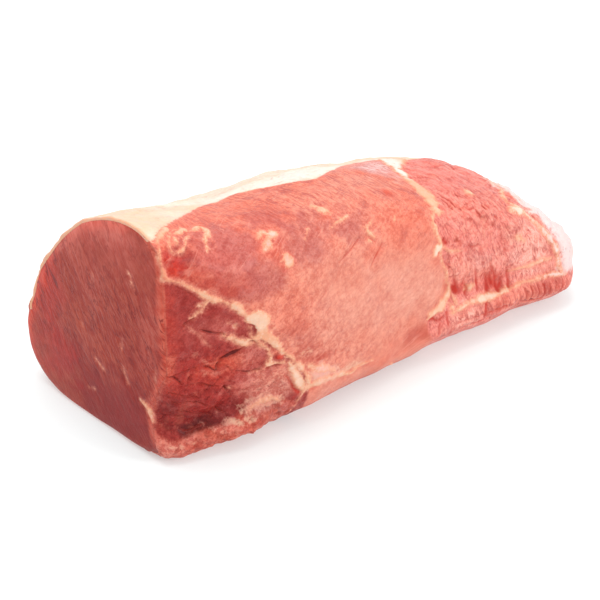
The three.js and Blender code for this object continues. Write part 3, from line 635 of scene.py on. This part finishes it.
def lean_paint(skin):
    """The lean's colour: each muscle's patches, with painted bounce light on the lip's lower side and painted shade
    along the foot's crevice and the front's bottom, and the brighter line round the cut end.
    """
    upper = painted("coral", skin, LEAN_PATCHES)
    foot = painted("wine", skin, FOOT_PATCHES)
    foot += (painted("lip pink", skin, LIP_PATCHES) - foot) * skin.lip[:, None]
    tail = painted("tail pink", skin, TAIL_PATCHES)
    cut = painted("dull brown", skin, CUT_PATCHES, cut_patch_share)
    colour = upper + (foot - upper) * (skin.below_seam * (1 - skin.past_collar))[:, None]
    colour += (tail - colour) * skin.past_collar[:, None]
    colour += (ALBEDO["coral"] - colour) * (0.5 * faded(skin.fat, -7, -1))[:, None]
    uneven = soft_noise(skin.points, 6, 54)
    rim = faded(skin.from_rim + 0.6 * uneven, 1.9, 0.4) * (0.6 + 0.3 * uneven)
    colour += (ALBEDO["pink"] - colour) * rim[:, None]
    across, up = skin.points[:, 1], skin.points[:, 2]
    rim_width = 2.2 + 6 * np.maximum(faded(across, 28, 46), faded(up, 70, 90) * faded(across, -20, 0))
    front = faded(across, -20, -32)
    edge = from_cut_edge(skin) + 1.2 * uneven
    rim_share = 0.62 * (1 - front) * faded(up, 4, 20)
    rim_share *= faded(edge, rim_width, 0.4)
    rim_colour = ALBEDO["rim red"] + (ALBEDO["rim pink"] - ALBEDO["rim red"]) * faded(up, 66, 84)[:, None]
    cut += (rim_colour - cut) * rim_share[:, None]
    beyond = beyond_rim(skin.points)
    turned = faded(-skin.normals[:, 0], 0.98, 0.75) * front
    light = CUT_LIGHT + (RIM_LIGHT - CUT_LIGHT) * turned
    colour += (cut / light[:, None] - colour) * skin.on_cut[:, None]
    front_rim = np.maximum(
        front * faded(edge, 3.2, 1.2), faded(beyond, 1.8, 0.1) * faded(beyond + uneven, -4.6, -2.2)
    )
    front_rim *= faded(skin.along, 6, 3) * faded(up, 6, 14)
    colour += (ALBEDO["rim salmon"] - colour) * (0.9 * front_rim * faded(skin.fat, -1, -4))[:, None]
    return colour + (ALBEDO["ember"] - colour) * (0.8 * skin.cut_rim)[:, None]


def fat_paint(skin):
    """The colour that fat has where it shows: cream over the back, and paler or rosier in the seams. Its lilac at the
    crown colours the painted sheen there.
    """
    over_back = painted("cream", skin, FAT_PATCHES)
    colour = painted("seam cream", skin, SEAM_FAT_PATCHES)
    colour += (over_back - colour) * faded(skin.fat, -3, 3)[:, None]
    return colour + (ALBEDO["orange cream"] - colour) * (0.8 * faded(skin.along, 1.6, 0.2))[:, None]


def grain_places(skin):
    """Millimetres along, across and into the grain, which climbs towards the tail and leans over on the cut end."""
    round_it = np.radians(skin.angle) * MEAN_RADIUS
    climb = math.radians(28)
    along = skin.along * math.cos(climb) + round_it * math.sin(climb)
    across = round_it * math.cos(climb) - skin.along * math.sin(climb)
    body = np.column_stack([along, across, skin.radius])
    lean_over = math.radians(57)
    down = -skin.points[:, 1] * math.cos(lean_over) - skin.points[:, 2] * math.sin(lean_over)
    side = skin.points[:, 1] * math.sin(lean_over) - skin.points[:, 2] * math.cos(lean_over)
    cut = np.column_stack([down, side, skin.along])
    return np.where(skin.on_cut[:, None] > 0.5, cut, body)


def cross_places(skin):
    """The same for the crown and the tail, where the grain runs down over the roast."""
    round_it = np.radians(skin.angle) * MEAN_RADIUS
    along = 0.31 * skin.along - 0.95 * round_it
    across = 0.95 * skin.along + 0.31 * round_it
    return np.column_stack([along, across, skin.radius])


def creases(noise, width):
    """1 along the lines where the noise changes sign, and 0 away from them."""
    return faded(np.abs(noise), width, 0)


def lean_relief(skin):
    """How far the lean stands proud of the rounded solid, in millimetres, and the shading painted from that relief: up
    to 1 for painted shade in its gaps, pits and rib troughs, and below 0 for painted highlight on its crests and raised
    crumbs.
    """
    points = skin.points
    body = 1 - skin.on_cut
    height = 0.3 * soft_noise(points, 9, 22) + 0.14 * soft_noise(points, 3.6, 23)
    height += 0.1 * soft_noise(grain_places(skin) / np.array([9, 2, 4]), 1, 21)
    # Painted shading from the relief: shade in gaps, pits and troughs counts up, highlight on crests counts down.
    hollow = np.zeros(len(points))

    foot = skin.below_seam * body * (1 - skin.past_collar)
    flakes = soft_noise(grain_places(skin) / np.array([13, 4, 5]), 1, 24) + 0.3 * soft_noise(points, 2.5, 29)
    foot_gaps = foot * creases(flakes, 0.14) * faded(soft_noise(points, 11, 30), -0.2, 0.3)
    foot_gaps *= faded(skin.angle, 14, 4) * faded(skin.from_rim, 1.5, 4) * (1 - skin.lip)
    ledges = 0.5 * np.abs(soft_noise(grain_places(skin) / np.array([14, 7, 6]), 1, 53))
    height += foot * (0.5 * soft_noise(points, 6.5, 32) + 0.3 * soft_noise(points, 2.6, 33) + ledges) - 0.75 * foot_gaps
    hollow += 0.7 * foot_gaps - 0.3 * foot * faded(flakes, 0.3, 1) * faded(soft_noise(points, 5, 58), -0.2, 0.6)

    upper_tail = skin.past_collar * faded(-skin.fat, 0, 4) * faded(skin.angle, 10, 24)
    bundles = soft_noise(cross_places(skin) / np.array([13, 2.3, 5]), 1, 25) + 0.2 * soft_noise(points, 2, 34)
    gaps = upper_tail * creases(bundles, 0.2)
    broken = faded(skin.angle, 66, 50) * upper_tail
    crumbs = soft_noise(cross_places(skin) / np.array([2.8, 1.4, 2]), 1, 26) + 0.4 * soft_noise(points, 5.5, 37)
    pits = broken * faded(crumbs, 0.5, 1.2)
    height += upper_tail * (0.3 * bundles + 0.25 * soft_noise(points, 5, 27)) - 0.4 * gaps - 0.5 * pits
    height += broken * 0.3 * soft_noise(points, 2.4, 36)
    hollow += 0.4 * gaps + 0.6 * pits - 0.5 * upper_tail * faded(np.abs(bundles - 0.5), 0.25, 0)
    hollow -= 0.5 * broken * faded(crumbs, -0.5, -1.1)

    ribs, on_ribs = strap_ribs(skin)
    height += 0.38 * ribs * on_ribs
    hollow += 0.9 * on_ribs * faded(ribs, 0.1, -0.9)

    height *= 1 - 0.7 * skin.on_cut
    folds = creases(soft_noise(points / np.array([1, 0.7, 0.7]), 4.5, 39), 0.2)
    height += skin.lip * (0.6 - 0.6 * folds + 0.6 * np.abs(soft_noise(points, 4, 55)) + 0.35 * soft_noise(points, 2, 40))
    hollow += 0.25 * skin.lip * folds
    height += 0.35 * skin.film_and_sheen * (1 + soft_noise(points, 2.2, 56))
    height += 0.45 * faded(skin.seam, -0.2, 1.2) * (1 + 0.8 * soft_noise(points, 2.6, 28))
    height -= 0.3 * np.exp(-(((skin.seam + 0.7) / 0.6) ** 2))
    height -= 1.2 * faded(skin.crack, -0.8, 0.35)
    height -= 0.8 * faded(skin.fold, -1.5, 0.6)
    return height, np.clip(hollow, -1, 1)


def strap_ribs(skin):
    """The ribs round the tail's foot from -1 to 1, closer together towards its end, and where they show."""
    pitch = np.interp(skin.along, [150, 195, 232], [4.8, 4.4, 2.9])
    turns = np.interp(skin.along, [150, 195, 232], [0, 9.8, 20.2])
    wander = 1.1 * soft_noise(skin.points, 8, 31) + 0.4 * soft_noise(skin.points, 2.5, 35)
    ribs = np.cos(2 * math.pi * (turns + (0.12 * skin.angle + wander) / pitch))
    on_strap = faded(skin.angle, -15.5, -12.5) * faded(skin.angle, -2.5, -5.5) * faded(skin.along, 184, 194)
    faint = faded(skin.angle, -14, -11) * faded(skin.angle, 5, 0) * faded(skin.along, 204, 212)
    patchy = 0.7 + 0.3 * soft_noise(skin.points, 7, 38)
    return ribs, np.maximum(on_strap, 0.6 * faint) * patchy


def fat_relief(skin):
    """The fat's soft lumps, creases and shallow knife marks, in millimetres."""
    points = skin.points
    lumps = 0.45 * soft_noise(points, 15, 41) + 0.3 * soft_noise(points, 6, 45) + 0.16 * soft_noise(points, 3, 44)
    lumps += 0.08 * soft_noise(points / np.array([2, 1, 1]), 1.3, 57)
    folds = creases(soft_noise(points / np.array([2.6, 1, 1]), 11, 42) + 0.15 * soft_noise(points, 3, 46), 0.07)
    shown = faded(soft_noise(points, 19, 47), -0.1, 0.4)
    dimples = faded(soft_noise(points, 4.5, 43), 0.5, 1)
    strokes = np.abs(soft_noise(points / np.array([2, 1, 1]), 17, 48))
    behind = faded(skin.angle, 105, 125) * (0.5 * soft_noise(points, 12, 62) + 0.3 * soft_noise(points, 5, 63))
    return lumps + behind + 0.5 * strokes - 0.5 * folds * shown - 0.35 * dimples - 0.2


def shared_relief(skin):
    """The relief of the lean that passes into the fat's near the fat's edge, the same on both pieces."""
    lean, hollow = lean_relief(skin)
    share = faded(skin.fat, -3, 6)
    return lean + (fat_relief(skin) - lean) * share, hollow


def close_to_fat(skin):
    """Raises the lean beside the fat, so that the two meet without a step."""
    beside = faded(-skin.fat, 6, 0) * (skin.fat <= 0) + faded(skin.fat, 5, 0) * (skin.fat > 0)
    return FAT_STEP * beside * (1 - skin.on_cut)


def spread_fat(skin):
    """Moves the fat's edge out and down into the lean, and its underside in, so that no gap shows."""
    near = [FAT_EDGE_TREE.find(point)[1] for point in skin.points]
    outwards = FAT_EDGE_OUTWARDS[near]
    edge = faded(skin.fat, 2.5, 0)[:, None]
    under = faded((skin.normals * skin.outwards).sum(1), 0.1, -0.5)
    under *= 0.55 + 0.8 * faded(skin.along, 6, 2)
    return edge * (2.4 * outwards - 0.5 * skin.outwards) - under[:, None] * skin.outwards


def finish_piece(piece, shape, skin, moved, skin_finish, node):
    """Puts the moved vertices and the attributes on the piece, and ties it to the part it stands for."""
    bmesh.ops.triangulate(shape, faces=shape.faces)
    lowest, highest = (np.array(corner) / MILLIMETRE for corner in CAD_BOX)
    places = np.clip(moved, lowest, highest) * MILLIMETRE
    for vertex, place in zip(shape.verts, places):
        vertex.co = place
    for face in shape.faces:
        face.smooth = True
    mesh = bpy.data.meshes.new(piece.name)
    shape.to_mesh(mesh)
    for name in [attribute.name for attribute in mesh.attributes if attribute.name in SHADING_LEFTOVERS]:
        mesh.attributes.remove(mesh.attributes[name])
    for name, values in {
        "fat": skin.fat, "seam": skin.seam, "crack": skin.crack, "fold": skin.fold, "hollow": skin.hollow,
        "cut": skin.on_cut, "across": skin.across, "busy": skin.busy, "crumbly": skin.crumbly, "film_and_sheen": skin.film_and_sheen,
    }.items():
        mesh.attributes.new(name, "FLOAT", "POINT").data.foreach_set("value", values.astype(np.float32))
    for name, places in {"grain": grain_places(skin), "cross_grain": cross_places(skin)}.items():
        mesh.attributes.new(name, "FLOAT_VECTOR", "POINT").data.foreach_set("vector", places.astype(np.float32).ravel())
    for name, colour in {"lean_paint": lean_paint(skin), "fat_paint": fat_paint(skin)}.items():
        channels = np.column_stack([colour, np.ones(len(colour))]).astype(np.float32)
        mesh.attributes.new(name, "FLOAT_COLOR", "POINT").data.foreach_set("color", channels.ravel())
    piece.data = mesh
    mesh.materials.append(skin_finish)
    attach(piece, "root")
    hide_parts(node)
    shape.free()


class Finish:
    """A material that is built up node by node: each call adds one node and gives its output."""

    def __init__(self, name):
        self.material = bpy.data.materials.new(name)
        self.material.use_nodes = True
        self.tree = self.material.node_tree
        self.tree.nodes.clear()

    def add(self, kind, output, inputs, **settings):
        node = self.tree.nodes.new(kind)
        for setting, value in settings.items():
            setattr(node, setting, value)
        for socket, value in inputs.items():
            if isinstance(value, bpy.types.NodeSocket):
                self.tree.links.new(value, node.inputs[socket])
            else:
                node.inputs[socket].default_value = value
        return node.outputs[output]

    def number(self, name):
        return self.add("ShaderNodeAttribute", "Fac", {}, attribute_name=name)

    def colour(self, name):
        return self.add("ShaderNodeAttribute", "Color", {}, attribute_name=name)

    def math(self, operation, *values):
        return self.add("ShaderNodeMath", 0, dict(enumerate(values)), operation=operation)

    def total(self, *pairs):
        """The sum of outputs, each with its own share."""
        running = 0.0
        for value, share in pairs:
            running = self.add("ShaderNodeMath", 0, {0: value, 1: share, 2: running}, operation="MULTIPLY_ADD")
        return running

    def faded(self, value, start, end, low=0.0, high=1.0):
        inputs = {"Value": value, "From Min": start, "From Max": end, "To Min": low, "To Max": high}
        return self.add("ShaderNodeMapRange", "Result", inputs, interpolation_type="SMOOTHSTEP")

    def blend(self, share, first, second):
        return self.add("ShaderNodeMix", 0, {0: share, 2: first, 3: second}, data_type="FLOAT")

    def mixed(self, share, first, second, kind="MIX"):
        return self.add(
            "ShaderNodeMix", 2, {0: share, 6: first, 7: second}, data_type="RGBA", blend_type=kind
        )

    def cells(self, place, size):
        """How near the walls between random cells of that size, from about 0 in their middles to 1."""
        inputs = {"Vector": place, "Scale": 1 / size, "Randomness": 1.0}
        walls = self.add("ShaderNodeTexVoronoi", "Distance", inputs, feature="DISTANCE_TO_EDGE")
        return self.faded(walls, 0.25, 0.0)

    def lumps(self, place, size, detail=2.0, roughness=0.5, distortion=0.0):
        """Random shades from about -1 to 1, in lumps of that size, or of those sizes in the three directions."""
        stretch = tuple(1 / one for one in size) if isinstance(size, tuple) else (1 / size,) * 3
        scaled = self.add("ShaderNodeVectorMath", 0, {0: place, 1: stretch}, operation="MULTIPLY")
        inputs = {"Vector": scaled, "Scale": 1.0, "Detail": detail, "Roughness": roughness, "Distortion": distortion}
        noise = self.add("ShaderNodeTexNoise", 0, inputs)
        return self.add("ShaderNodeMath", 0, {0: noise, 1: 4.0, 2: -2.0}, operation="MULTIPLY_ADD")


def rgba(name, brightness=1.0):
    return (*(ALBEDO[name] * brightness), 1.0)


def raw_skin(name, roughness, coat):
    """Raw lean and raw fat. The attributes on each piece say which of them shows, and where."""
    finish = Finish(name)
    place = finish.add(
        "ShaderNodeVectorMath", 0,
        {0: finish.add("ShaderNodeTexCoord", "Object", {}), 1: (1 / MILLIMETRE,) * 3}, operation="MULTIPLY",
    )
    grain = finish.add("ShaderNodeAttribute", "Vector", {}, attribute_name="grain")
    cross_grain = finish.add("ShaderNodeAttribute", "Vector", {}, attribute_name="cross_grain")
    across = finish.number("across")
    cut = finish.number("cut")
    strands = finish.blend(
        across, finish.lumps(grain, (10.0, 1.4, 4.0), 2.0, 0.55, 0.3),
        finish.lumps(cross_grain, (10.0, 1.2, 4.0), 2.0, 0.55, 0.5),
    )
    strands = finish.blend(cut, strands, finish.lumps(grain, (16.0, 4.4, 30.0), 1.5, 0.6, 1.3))
    fine_strands = finish.blend(
        across, finish.lumps(grain, (4.0, 0.6, 1.5), 2.0, 0.6), finish.lumps(cross_grain, (5.0, 0.6, 1.5), 2.0, 0.6),
    )
    fine_strands = finish.blend(cut, fine_strands, finish.lumps(grain, (6.0, 2.0, 30.0), 1.0, 0.5, 1.2))
    blotches = finish.lumps(place, 11.0, 3.0, 0.6)
    specks = finish.lumps(place, 2.0, 3.0, 0.65)
    crumbs = finish.lumps(place, 0.8, 2.0, 0.6)

    lean_colour = finish.colour("lean_paint")
    busy = finish.number("busy")
    smooth = finish.faded(finish.number("crumbly"), 0.97, 0.85)
    bare = finish.math("MULTIPLY", finish.faded(cut, 0.0, 1.0, 1.0, 0.05), finish.faded(smooth, 0.0, 1.0, 0.4, 1.0))
    clouds = finish.lumps(place, 7.0, 4.0, 0.68)
    dusk = finish.math("MULTIPLY", finish.math("MULTIPLY", busy, bare), finish.faded(clouds, 0.0, 1.0, 0.0, 0.5))
    glow = finish.math("MULTIPLY", finish.math("MULTIPLY", busy, bare), finish.faded(clouds, -0.1, -1.0, 0.0, 0.4))
    lean_colour = finish.mixed(dusk, lean_colour, rgba("dusky rose"))
    lean_colour = finish.mixed(glow, lean_colour, rgba("coral"))
    lace = finish.lumps(place, 3.6, 3.0, 0.65)
    fibrous = finish.total((strands, 0.5), (fine_strands, 0.3), (specks, 0.22), (crumbs, 0.18))
    mottled = finish.total((strands, 0.12), (fine_strands, 0.15), (lace, 0.5), (specks, 0.55), (crumbs, 0.3))
    streaks = finish.math("MULTIPLY", busy, finish.blend(finish.number("crumbly"), fibrous, mottled))
    on_cut_end = finish.total((strands, 0.8), (fine_strands, 0.38), (lace, 0.75), (crumbs, 0.08))
    on_cut_end = finish.math("MULTIPLY", busy, on_cut_end)
    streaks = finish.blend(cut, streaks, on_cut_end)
    tone = finish.total((streaks, 1.0), (blotches, 0.2))
    darkened = finish.mixed(cut, (0.78, 0.58, 0.56, 1), (0.84, 0.5, 0.42, 1))
    dark = finish.mixed(1.0, lean_colour, darkened, "MULTIPLY")
    light = finish.mixed(1.0, lean_colour, (1.07, 1.24, 1.24, 1), "MULTIPLY")
    lean_colour = finish.mixed(finish.faded(tone, -0.75, 0.75), dark, light)
    # Painted shade in the relief's gaps and pits, a darkened brick and red, and painted highlight on its crests, coral
    # and pale salmon.
    hollow = finish.total((finish.number("hollow"), 1.0), (specks, 0.12))
    hollow_colour = finish.mixed(finish.faded(across, 0.4, 0.9), rgba("dark brick", 0.8), rgba("bright red", 0.65))
    lean_colour = finish.mixed(finish.faded(hollow, 0.1, 0.9, 0.0, 0.85), lean_colour, hollow_colour)
    crest_highlight_colour = finish.mixed(finish.faded(across, 0.4, 0.9), rgba("coral"), rgba("pale salmon", 1.05))
    lean_colour = finish.mixed(finish.faded(hollow, -0.1, -0.8, 0.0, 0.6), lean_colour, crest_highlight_colour)

    threads = finish.math("ABSOLUTE", finish.lumps(grain, (34.0, 6.0, 9.0), 2.0, 0.55, 0.2))
    patchy = finish.faded(finish.lumps(place, 15.0, 1.0), 0.0, 0.6, 0.0, 0.4)
    patchy = finish.math("MULTIPLY", patchy, finish.math("MULTIPLY", smooth, finish.faded(cut, 1.0, 0.0)))
    thread_share = finish.math("MULTIPLY", finish.faded(threads, 0.10, 0.01), patchy)
    lean_colour = finish.mixed(thread_share, lean_colour, rgba("pale salmon", 1.05))
    splits = finish.math("ABSOLUTE", finish.lumps(grain, (15.0, 4.5, 30.0), 2.0, 0.55, 1.4))
    split_share = finish.math(
        "MULTIPLY", finish.faded(splits, 0.2, 0.0),
        finish.math("MULTIPLY", finish.math("MULTIPLY", cut, busy), finish.faded(clouds, -0.5, 0.5, 0.3, 0.85)),
    )
    lean_colour = finish.mixed(split_share, lean_colour, rgba("dark brick", 0.9))
    wrinkles = finish.math("ABSOLUTE", finish.lumps(cross_grain, (12.0, 1.7, 4.0), 1.0, 0.5, 0.4))
    wrinkle_share = finish.math(
        "MULTIPLY", finish.faded(wrinkles, 0.2, 0.0), finish.math("MULTIPLY", across, finish.faded(clouds, -0.4, 0.5, 0.3, 0.95))
    )
    lean_colour = finish.mixed(wrinkle_share, lean_colour, rgba("deep rose", 0.9))

    fat_colour = finish.colour("fat_paint")
    # Whitish skin over the lean, and the painted sheen on the crown, laid on in the fat's colour.
    covered = finish.total(
        (finish.number("film_and_sheen"), 2.2), (lace, 0.5), (strands, 0.3), (specks, 0.35), (crumbs, 0.2), (1.0, -1.05)
    )
    film_and_sheen_share = finish.faded(covered, -0.3, 0.9, 0.0, 0.85)
    lean_colour = finish.mixed(film_and_sheen_share, lean_colour, fat_colour)
    ragged = finish.total((lace, 0.9), (specks, 0.7), (crumbs, 0.3), (finish.number("seam"), 1.0), (1.0, -0.1))
    lean_colour = finish.mixed(finish.faded(ragged, -2.4, 0.2, 0.0, 0.4), lean_colour, rgba("salmon", 1.05))
    seam_colour = finish.mixed(finish.faded(ragged, -0.2, 2.3), rgba("orange cream"), fat_colour)
    stained = finish.total((specks, 0.6), (blotches, 0.6), (lace, 0.4), (crumbs, 0.3))
    seam_colour = finish.mixed(finish.faded(stained, 0.2, 1.1, 0.0, 0.55), seam_colour, rgba("coral", 1.1))
    flecked = finish.total((specks, 0.6), (crumbs, 0.7), (lace, 0.3))
    seam_colour = finish.mixed(finish.faded(flecked, 0.1, 1.1, 0.0, 0.45), seam_colour, rgba("ivory", 1.03))
    seam_share = finish.faded(ragged, -0.9, 1.1, 0.0, 0.92)
    lean_colour = finish.mixed(seam_share, lean_colour, seam_colour)
    # The folds' deep red: partly the meat's own colour, partly painted shade down in the creases.
    fold = finish.total((specks, 0.3), (finish.number("fold"), 1.0))
    lean_colour = finish.mixed(finish.faded(fold, -0.9, 0.8, 0.0, 0.85), lean_colour, rgba("bright red", 0.85))
    # Painted shade in the cracks: a darker red along them and a near-black red deepest in.
    torn = finish.total((crumbs, 0.15), (finish.number("crack"), 1.0))
    lean_colour = finish.mixed(finish.faded(torn, -0.9, 0.1, 0.0, 0.5), lean_colour, rgba("red", 0.8))
    lean_colour = finish.mixed(finish.faded(torn, -0.2, 0.35, 0.0, 0.9), lean_colour, rgba("crevice shade"))

    lobules = finish.cells(place, 3.4)
    fat_tone = finish.total((blotches, 0.4), (specks, 0.3), (lobules, 0.4))
    fat_colour = finish.mixed(finish.faded(fat_tone, -0.1, 1.0, 0.0, 0.32), fat_colour, rgba("peach"))
    fat_colour = finish.mixed(finish.faded(fat_tone, -0.2, -1.1, 0.0, 0.35), fat_colour, rgba("ivory", 1.03))
    films = finish.math("ABSOLUTE", finish.lumps(place, (26.0, 6.0, 8.0), 3.0, 0.6, 0.4))
    fat_colour = finish.mixed(finish.faded(films, 0.16, 0.0, 0.0, 0.28), fat_colour, rgba("lilac", 0.8))
    thin = finish.total((finish.lumps(place, (26.0, 14.0, 14.0), 3.0, 0.6), 1.0), (specks, 0.3), (streaks, 0.3))
    fat_colour = finish.mixed(finish.faded(thin, 0.35, 1.1, 0.0, 0.4), fat_colour, rgba("salmon"))
    vessels = finish.math("ABSOLUTE", finish.lumps(place, (30.0, 13.0, 15.0), 1.0, 0.5, 0.9))
    vessel_share = finish.math(
        "MULTIPLY", finish.faded(vessels, 0.045, 0.0), finish.faded(finish.lumps(place, 22.0, 1.0), 0.1, 0.5, 0.0, 0.55)
    )
    fat_colour = finish.mixed(vessel_share, fat_colour, rgba("coral"))
    edge = finish.total(
        (blotches, 1.3), (lace, 1.0), (specks, 0.8), (crumbs, 0.3), (finish.number("fat"), 1.0), (1.0, 0.0)
    )
    fat_colour = finish.mixed(finish.faded(edge, 1.6, -0.2, 0.0, 0.35), fat_colour, rgba("seam cream"))
    colour = finish.mixed(finish.faded(edge, -2.2, 0.0, 0.0, 0.5), lean_colour, rgba("coral", 1.1))
    fat_share = finish.faded(edge, -0.5, 0.5)
    colour = finish.mixed(fat_share, colour, fat_colour)

    any_fat = finish.math("MAXIMUM", fat_share, seam_share)
    rough = finish.total((any_fat, 0.06), (specks, 0.05), (1.0, roughness))
    lean_height = finish.total((streaks, finish.faded(cut, 0.0, 1.0, 0.7, 0.4)), (crumbs, 0.12))
    fat_height = finish.total((lobules, -0.22), (specks, 0.2))
    height = finish.blend(any_fat, lean_height, fat_height)
    bump = finish.add("ShaderNodeBump", 0, {"Height": height, "Strength": 0.6, "Distance": 0.0004})
    shader = finish.add("ShaderNodeBsdfPrincipled", 0, {
        "Base Color": colour, "Roughness": rough, "Normal": bump,
        "Subsurface Weight": 0.12, "Subsurface Radius": (1.0, 0.3, 0.2), "Subsurface Scale": 0.003,
        "Specular IOR Level": 0.2, "Coat Weight": coat, "Coat Roughness": 0.25, "IOR": 1.4,
    })
    output = finish.tree.nodes.new("ShaderNodeOutputMaterial")
    finish.tree.links.new(shader, output.inputs["Surface"])
    return finish.material


WELD = 1e-6
FAT_STEP = 1.2  # how far the lean lies below the fat beside the fat's edge
SHADING_LEFTOVERS = ("custom_normal", "sharp_edge", "sharp_face")
ALBEDO = {name: np.maximum(linear(colour) - SHINE, 0.006) / LIGHT for name, colour in COLOURS.items()}

# The muscle seam as an angle at each distance along, falling away past the foot, and the collar as a
# distance along at each angle
FRONT_SEAM = tuple(zip(*[(along, angle) for along, angle, _ in SEAMS["muscle seam"]], (69, -80), (75, -110)))
COLLAR = (
    [-25, -12, -7, -3.5, 0, 3, 7, 11.5, 18, 23, 27, 34, 36.5, 40, 43.5, 47, 51.5, 55.5, 60, 64.5, 73, 79, 85, 94, 106],
    [147, 143, 143.3, 146.8, 154, 157.7, 158.3, 157.8, 154.2, 152.6, 151.6, 151, 150.1, 148.7, 148.9, 151.6,
     156.1, 157.8, 158.9, 159.7, 161.2, 161.9, 163.1, 167.5, 175],
)

lean_piece, lean_shape = rounded_copy("lean", "lean_meat")
fat_piece, fat_shape = rounded_copy("fat_cap", "fat_layer")

turn_corner_back(lean_shape)

in_millimetres = lean_shape.copy()
bmesh.ops.scale(in_millimetres, vec=(1 / MILLIMETRE,) * 3, verts=in_millimetres.verts)
lean_tree = BVHTree.FromBMesh(in_millimetres)
in_millimetres.free()

SEAM_LINES = Lines()
for route in SEAMS.values():
    SEAM_LINES.add(skin_point, lean_tree, route)
for route in CUT_VEINS.values():
    SEAM_LINES.add(cut_point, lean_tree, route)
SEAM_LINES.index()
CRACK_LINES = Lines()
for route in CRACKS.values():
    CRACK_LINES.add(skin_point, lean_tree, route)
CRACK_LINES.index()
FOLD_LINES = Lines()
for route in FOLDS.values():
    FOLD_LINES.add(skin_point, lean_tree, route)
FOLD_LINES.index()

fat_edge = Lines()
fat_edge.add(skin_point, lean_tree, [*FAT_FRONT_EDGE, *FAT_END_EDGE, *FAT_BACK_EDGE])
fat_edge.index()
FAT_EDGE_TREE = fat_edge.tree
edge_points = np.array([point[:] for point in fat_edge.points])
edge_run = np.gradient(edge_points, axis=0)
edge_offset = edge_points[:, 1:] - core_at(edge_points[:, 0] - CUT_PLANE)
edge_out = np.column_stack([np.zeros(len(edge_offset)), edge_offset])
FAT_EDGE_OUTWARDS = np.cross(edge_run, edge_out)
FAT_EDGE_OUTWARDS /= np.linalg.norm(FAT_EDGE_OUTWARDS, axis=1)[:, None]

thin_out(lean_shape, lambda skin, facing: (skin.fat > 8) & (facing > 0) | (skin.points[:, 2] < 0.1))
thin_out(fat_shape, lambda skin, facing: facing < -0.3)
refine(fat_shape, lambda skin: (skin.normals * skin.outwards).sum(1) > 0.1, 1.4)
refine(lean_shape, lambda skin: near_lines(skin, 1.8) | fine_relief(skin), 0.85)
refine(lean_shape, lambda skin: near_lines(skin, 0.5) & ~fine_relief(skin), 0.5)

lean_skin = Skin(lean_shape)
keep_fat_off_cut(lean_skin)
relief, lean_skin.hollow = shared_relief(lean_skin)
lift = (relief * faded(lean_skin.points[:, 2], 0.3, 3) + close_to_fat(lean_skin))[:, None]
lean_moved = lean_skin.points + lean_skin.normals * lift
finish_piece(lean_piece, lean_shape, lean_skin, lean_moved, raw_skin("raw lean", 0.42, 0.1), "lean")

fat_skin = Skin(fat_shape)
relief, fat_skin.hollow = shared_relief(fat_skin)
facing_out = faded((fat_skin.normals * fat_skin.outwards).sum(1), 0, 0.4)
fat_moved = fat_skin.points + fat_skin.normals * (relief * facing_out)[:, None] + spread_fat(fat_skin)
finish_piece(fat_piece, fat_shape, fat_skin, fat_moved, raw_skin("raw fat", 0.4, 0.12), "fat_cap")

for piece in (lean_piece, fat_piece):
    print(piece.name, len(piece.data.vertices), "vertices", len(piece.data.polygons), "faces")


def pale_floor():
    shape = bmesh.new()
    bmesh.ops.create_circle(shape, cap_ends=True, segments=96, radius=6)
    bmesh.ops.translate(shape, verts=shape.verts, vec=(0, 0, -0.0004))
    mesh = bpy.data.meshes.new("floor")
    shape.to_mesh(mesh)
    shape.free()
    floor = bpy.data.objects.new("floor", mesh)
    bpy.context.scene.collection.objects.link(floor)
    paint = bpy.data.materials.new("pale floor")
    paint.use_nodes = True
    surface = paint.node_tree.nodes["Principled BSDF"].inputs
    surface["Base Color"].default_value = (0.55, 0.6, 0.6, 1)
    surface["Roughness"].default_value = 0.8
    surface["Specular IOR Level"].default_value = 0.1
    surface["Emission Color"].default_value = (1, 1, 1, 1)
    surface["Emission Strength"].default_value = 0.37
    mesh.materials.append(paint)


def soft_lamp(name, place, size, power):
    """A square lamp that faces the roast."""
    light = bpy.data.lights.new(name, "AREA")
    light.size = size
    light.energy = power
    lamp = bpy.data.objects.new(name, light)
    lamp.location = place
    lamp.rotation_euler = (Vector((0, 0, 0.05)) - Vector(place)).to_track_quat("-Z", "Y").to_euler()
    bpy.context.scene.collection.objects.link(lamp)


def studio():
    """A white room, a large lamp overhead and a weaker one in front."""
    world = bpy.data.worlds.new("white room")
    world.use_nodes = True
    world.node_tree.nodes["Background"].inputs["Color"].default_value = (1, 1, 1, 1)
    world.node_tree.nodes["Background"].inputs["Strength"].default_value = 0.95
    bpy.context.scene.world = world
    soft_lamp("overhead lamp", (-0.15, 0.15, 1.2), 0.8, 8.5)
    soft_lamp("front lamp", (0.45, -1.1, 0.6), 0.4, 6.0)
    bpy.context.scene.view_settings.view_transform = "Standard"


def camera():
    """The photograph's view: from the front left, looking down on the roast."""
    azimuth = math.radians(-41.76)
    elevation = math.radians(30.89)
    target = Vector((-0.04157, -0.03447, 0.05))
    back = Vector((
        math.sin(azimuth) * math.cos(elevation), -math.cos(azimuth) * math.cos(elevation), math.sin(elevation)
    ))
    view = bpy.data.cameras.new("camera")
    view.lens = 121.14
    view.sensor_width = 36
    holder = bpy.data.objects.new("camera", view)
    holder.location = target + back * 0.9
    holder.rotation_euler = (-back).to_track_quat("-Z", "Y").to_euler()
    bpy.context.scene.collection.objects.link(holder)
    bpy.context.scene.camera = holder


pale_floor()
studio()
camera()
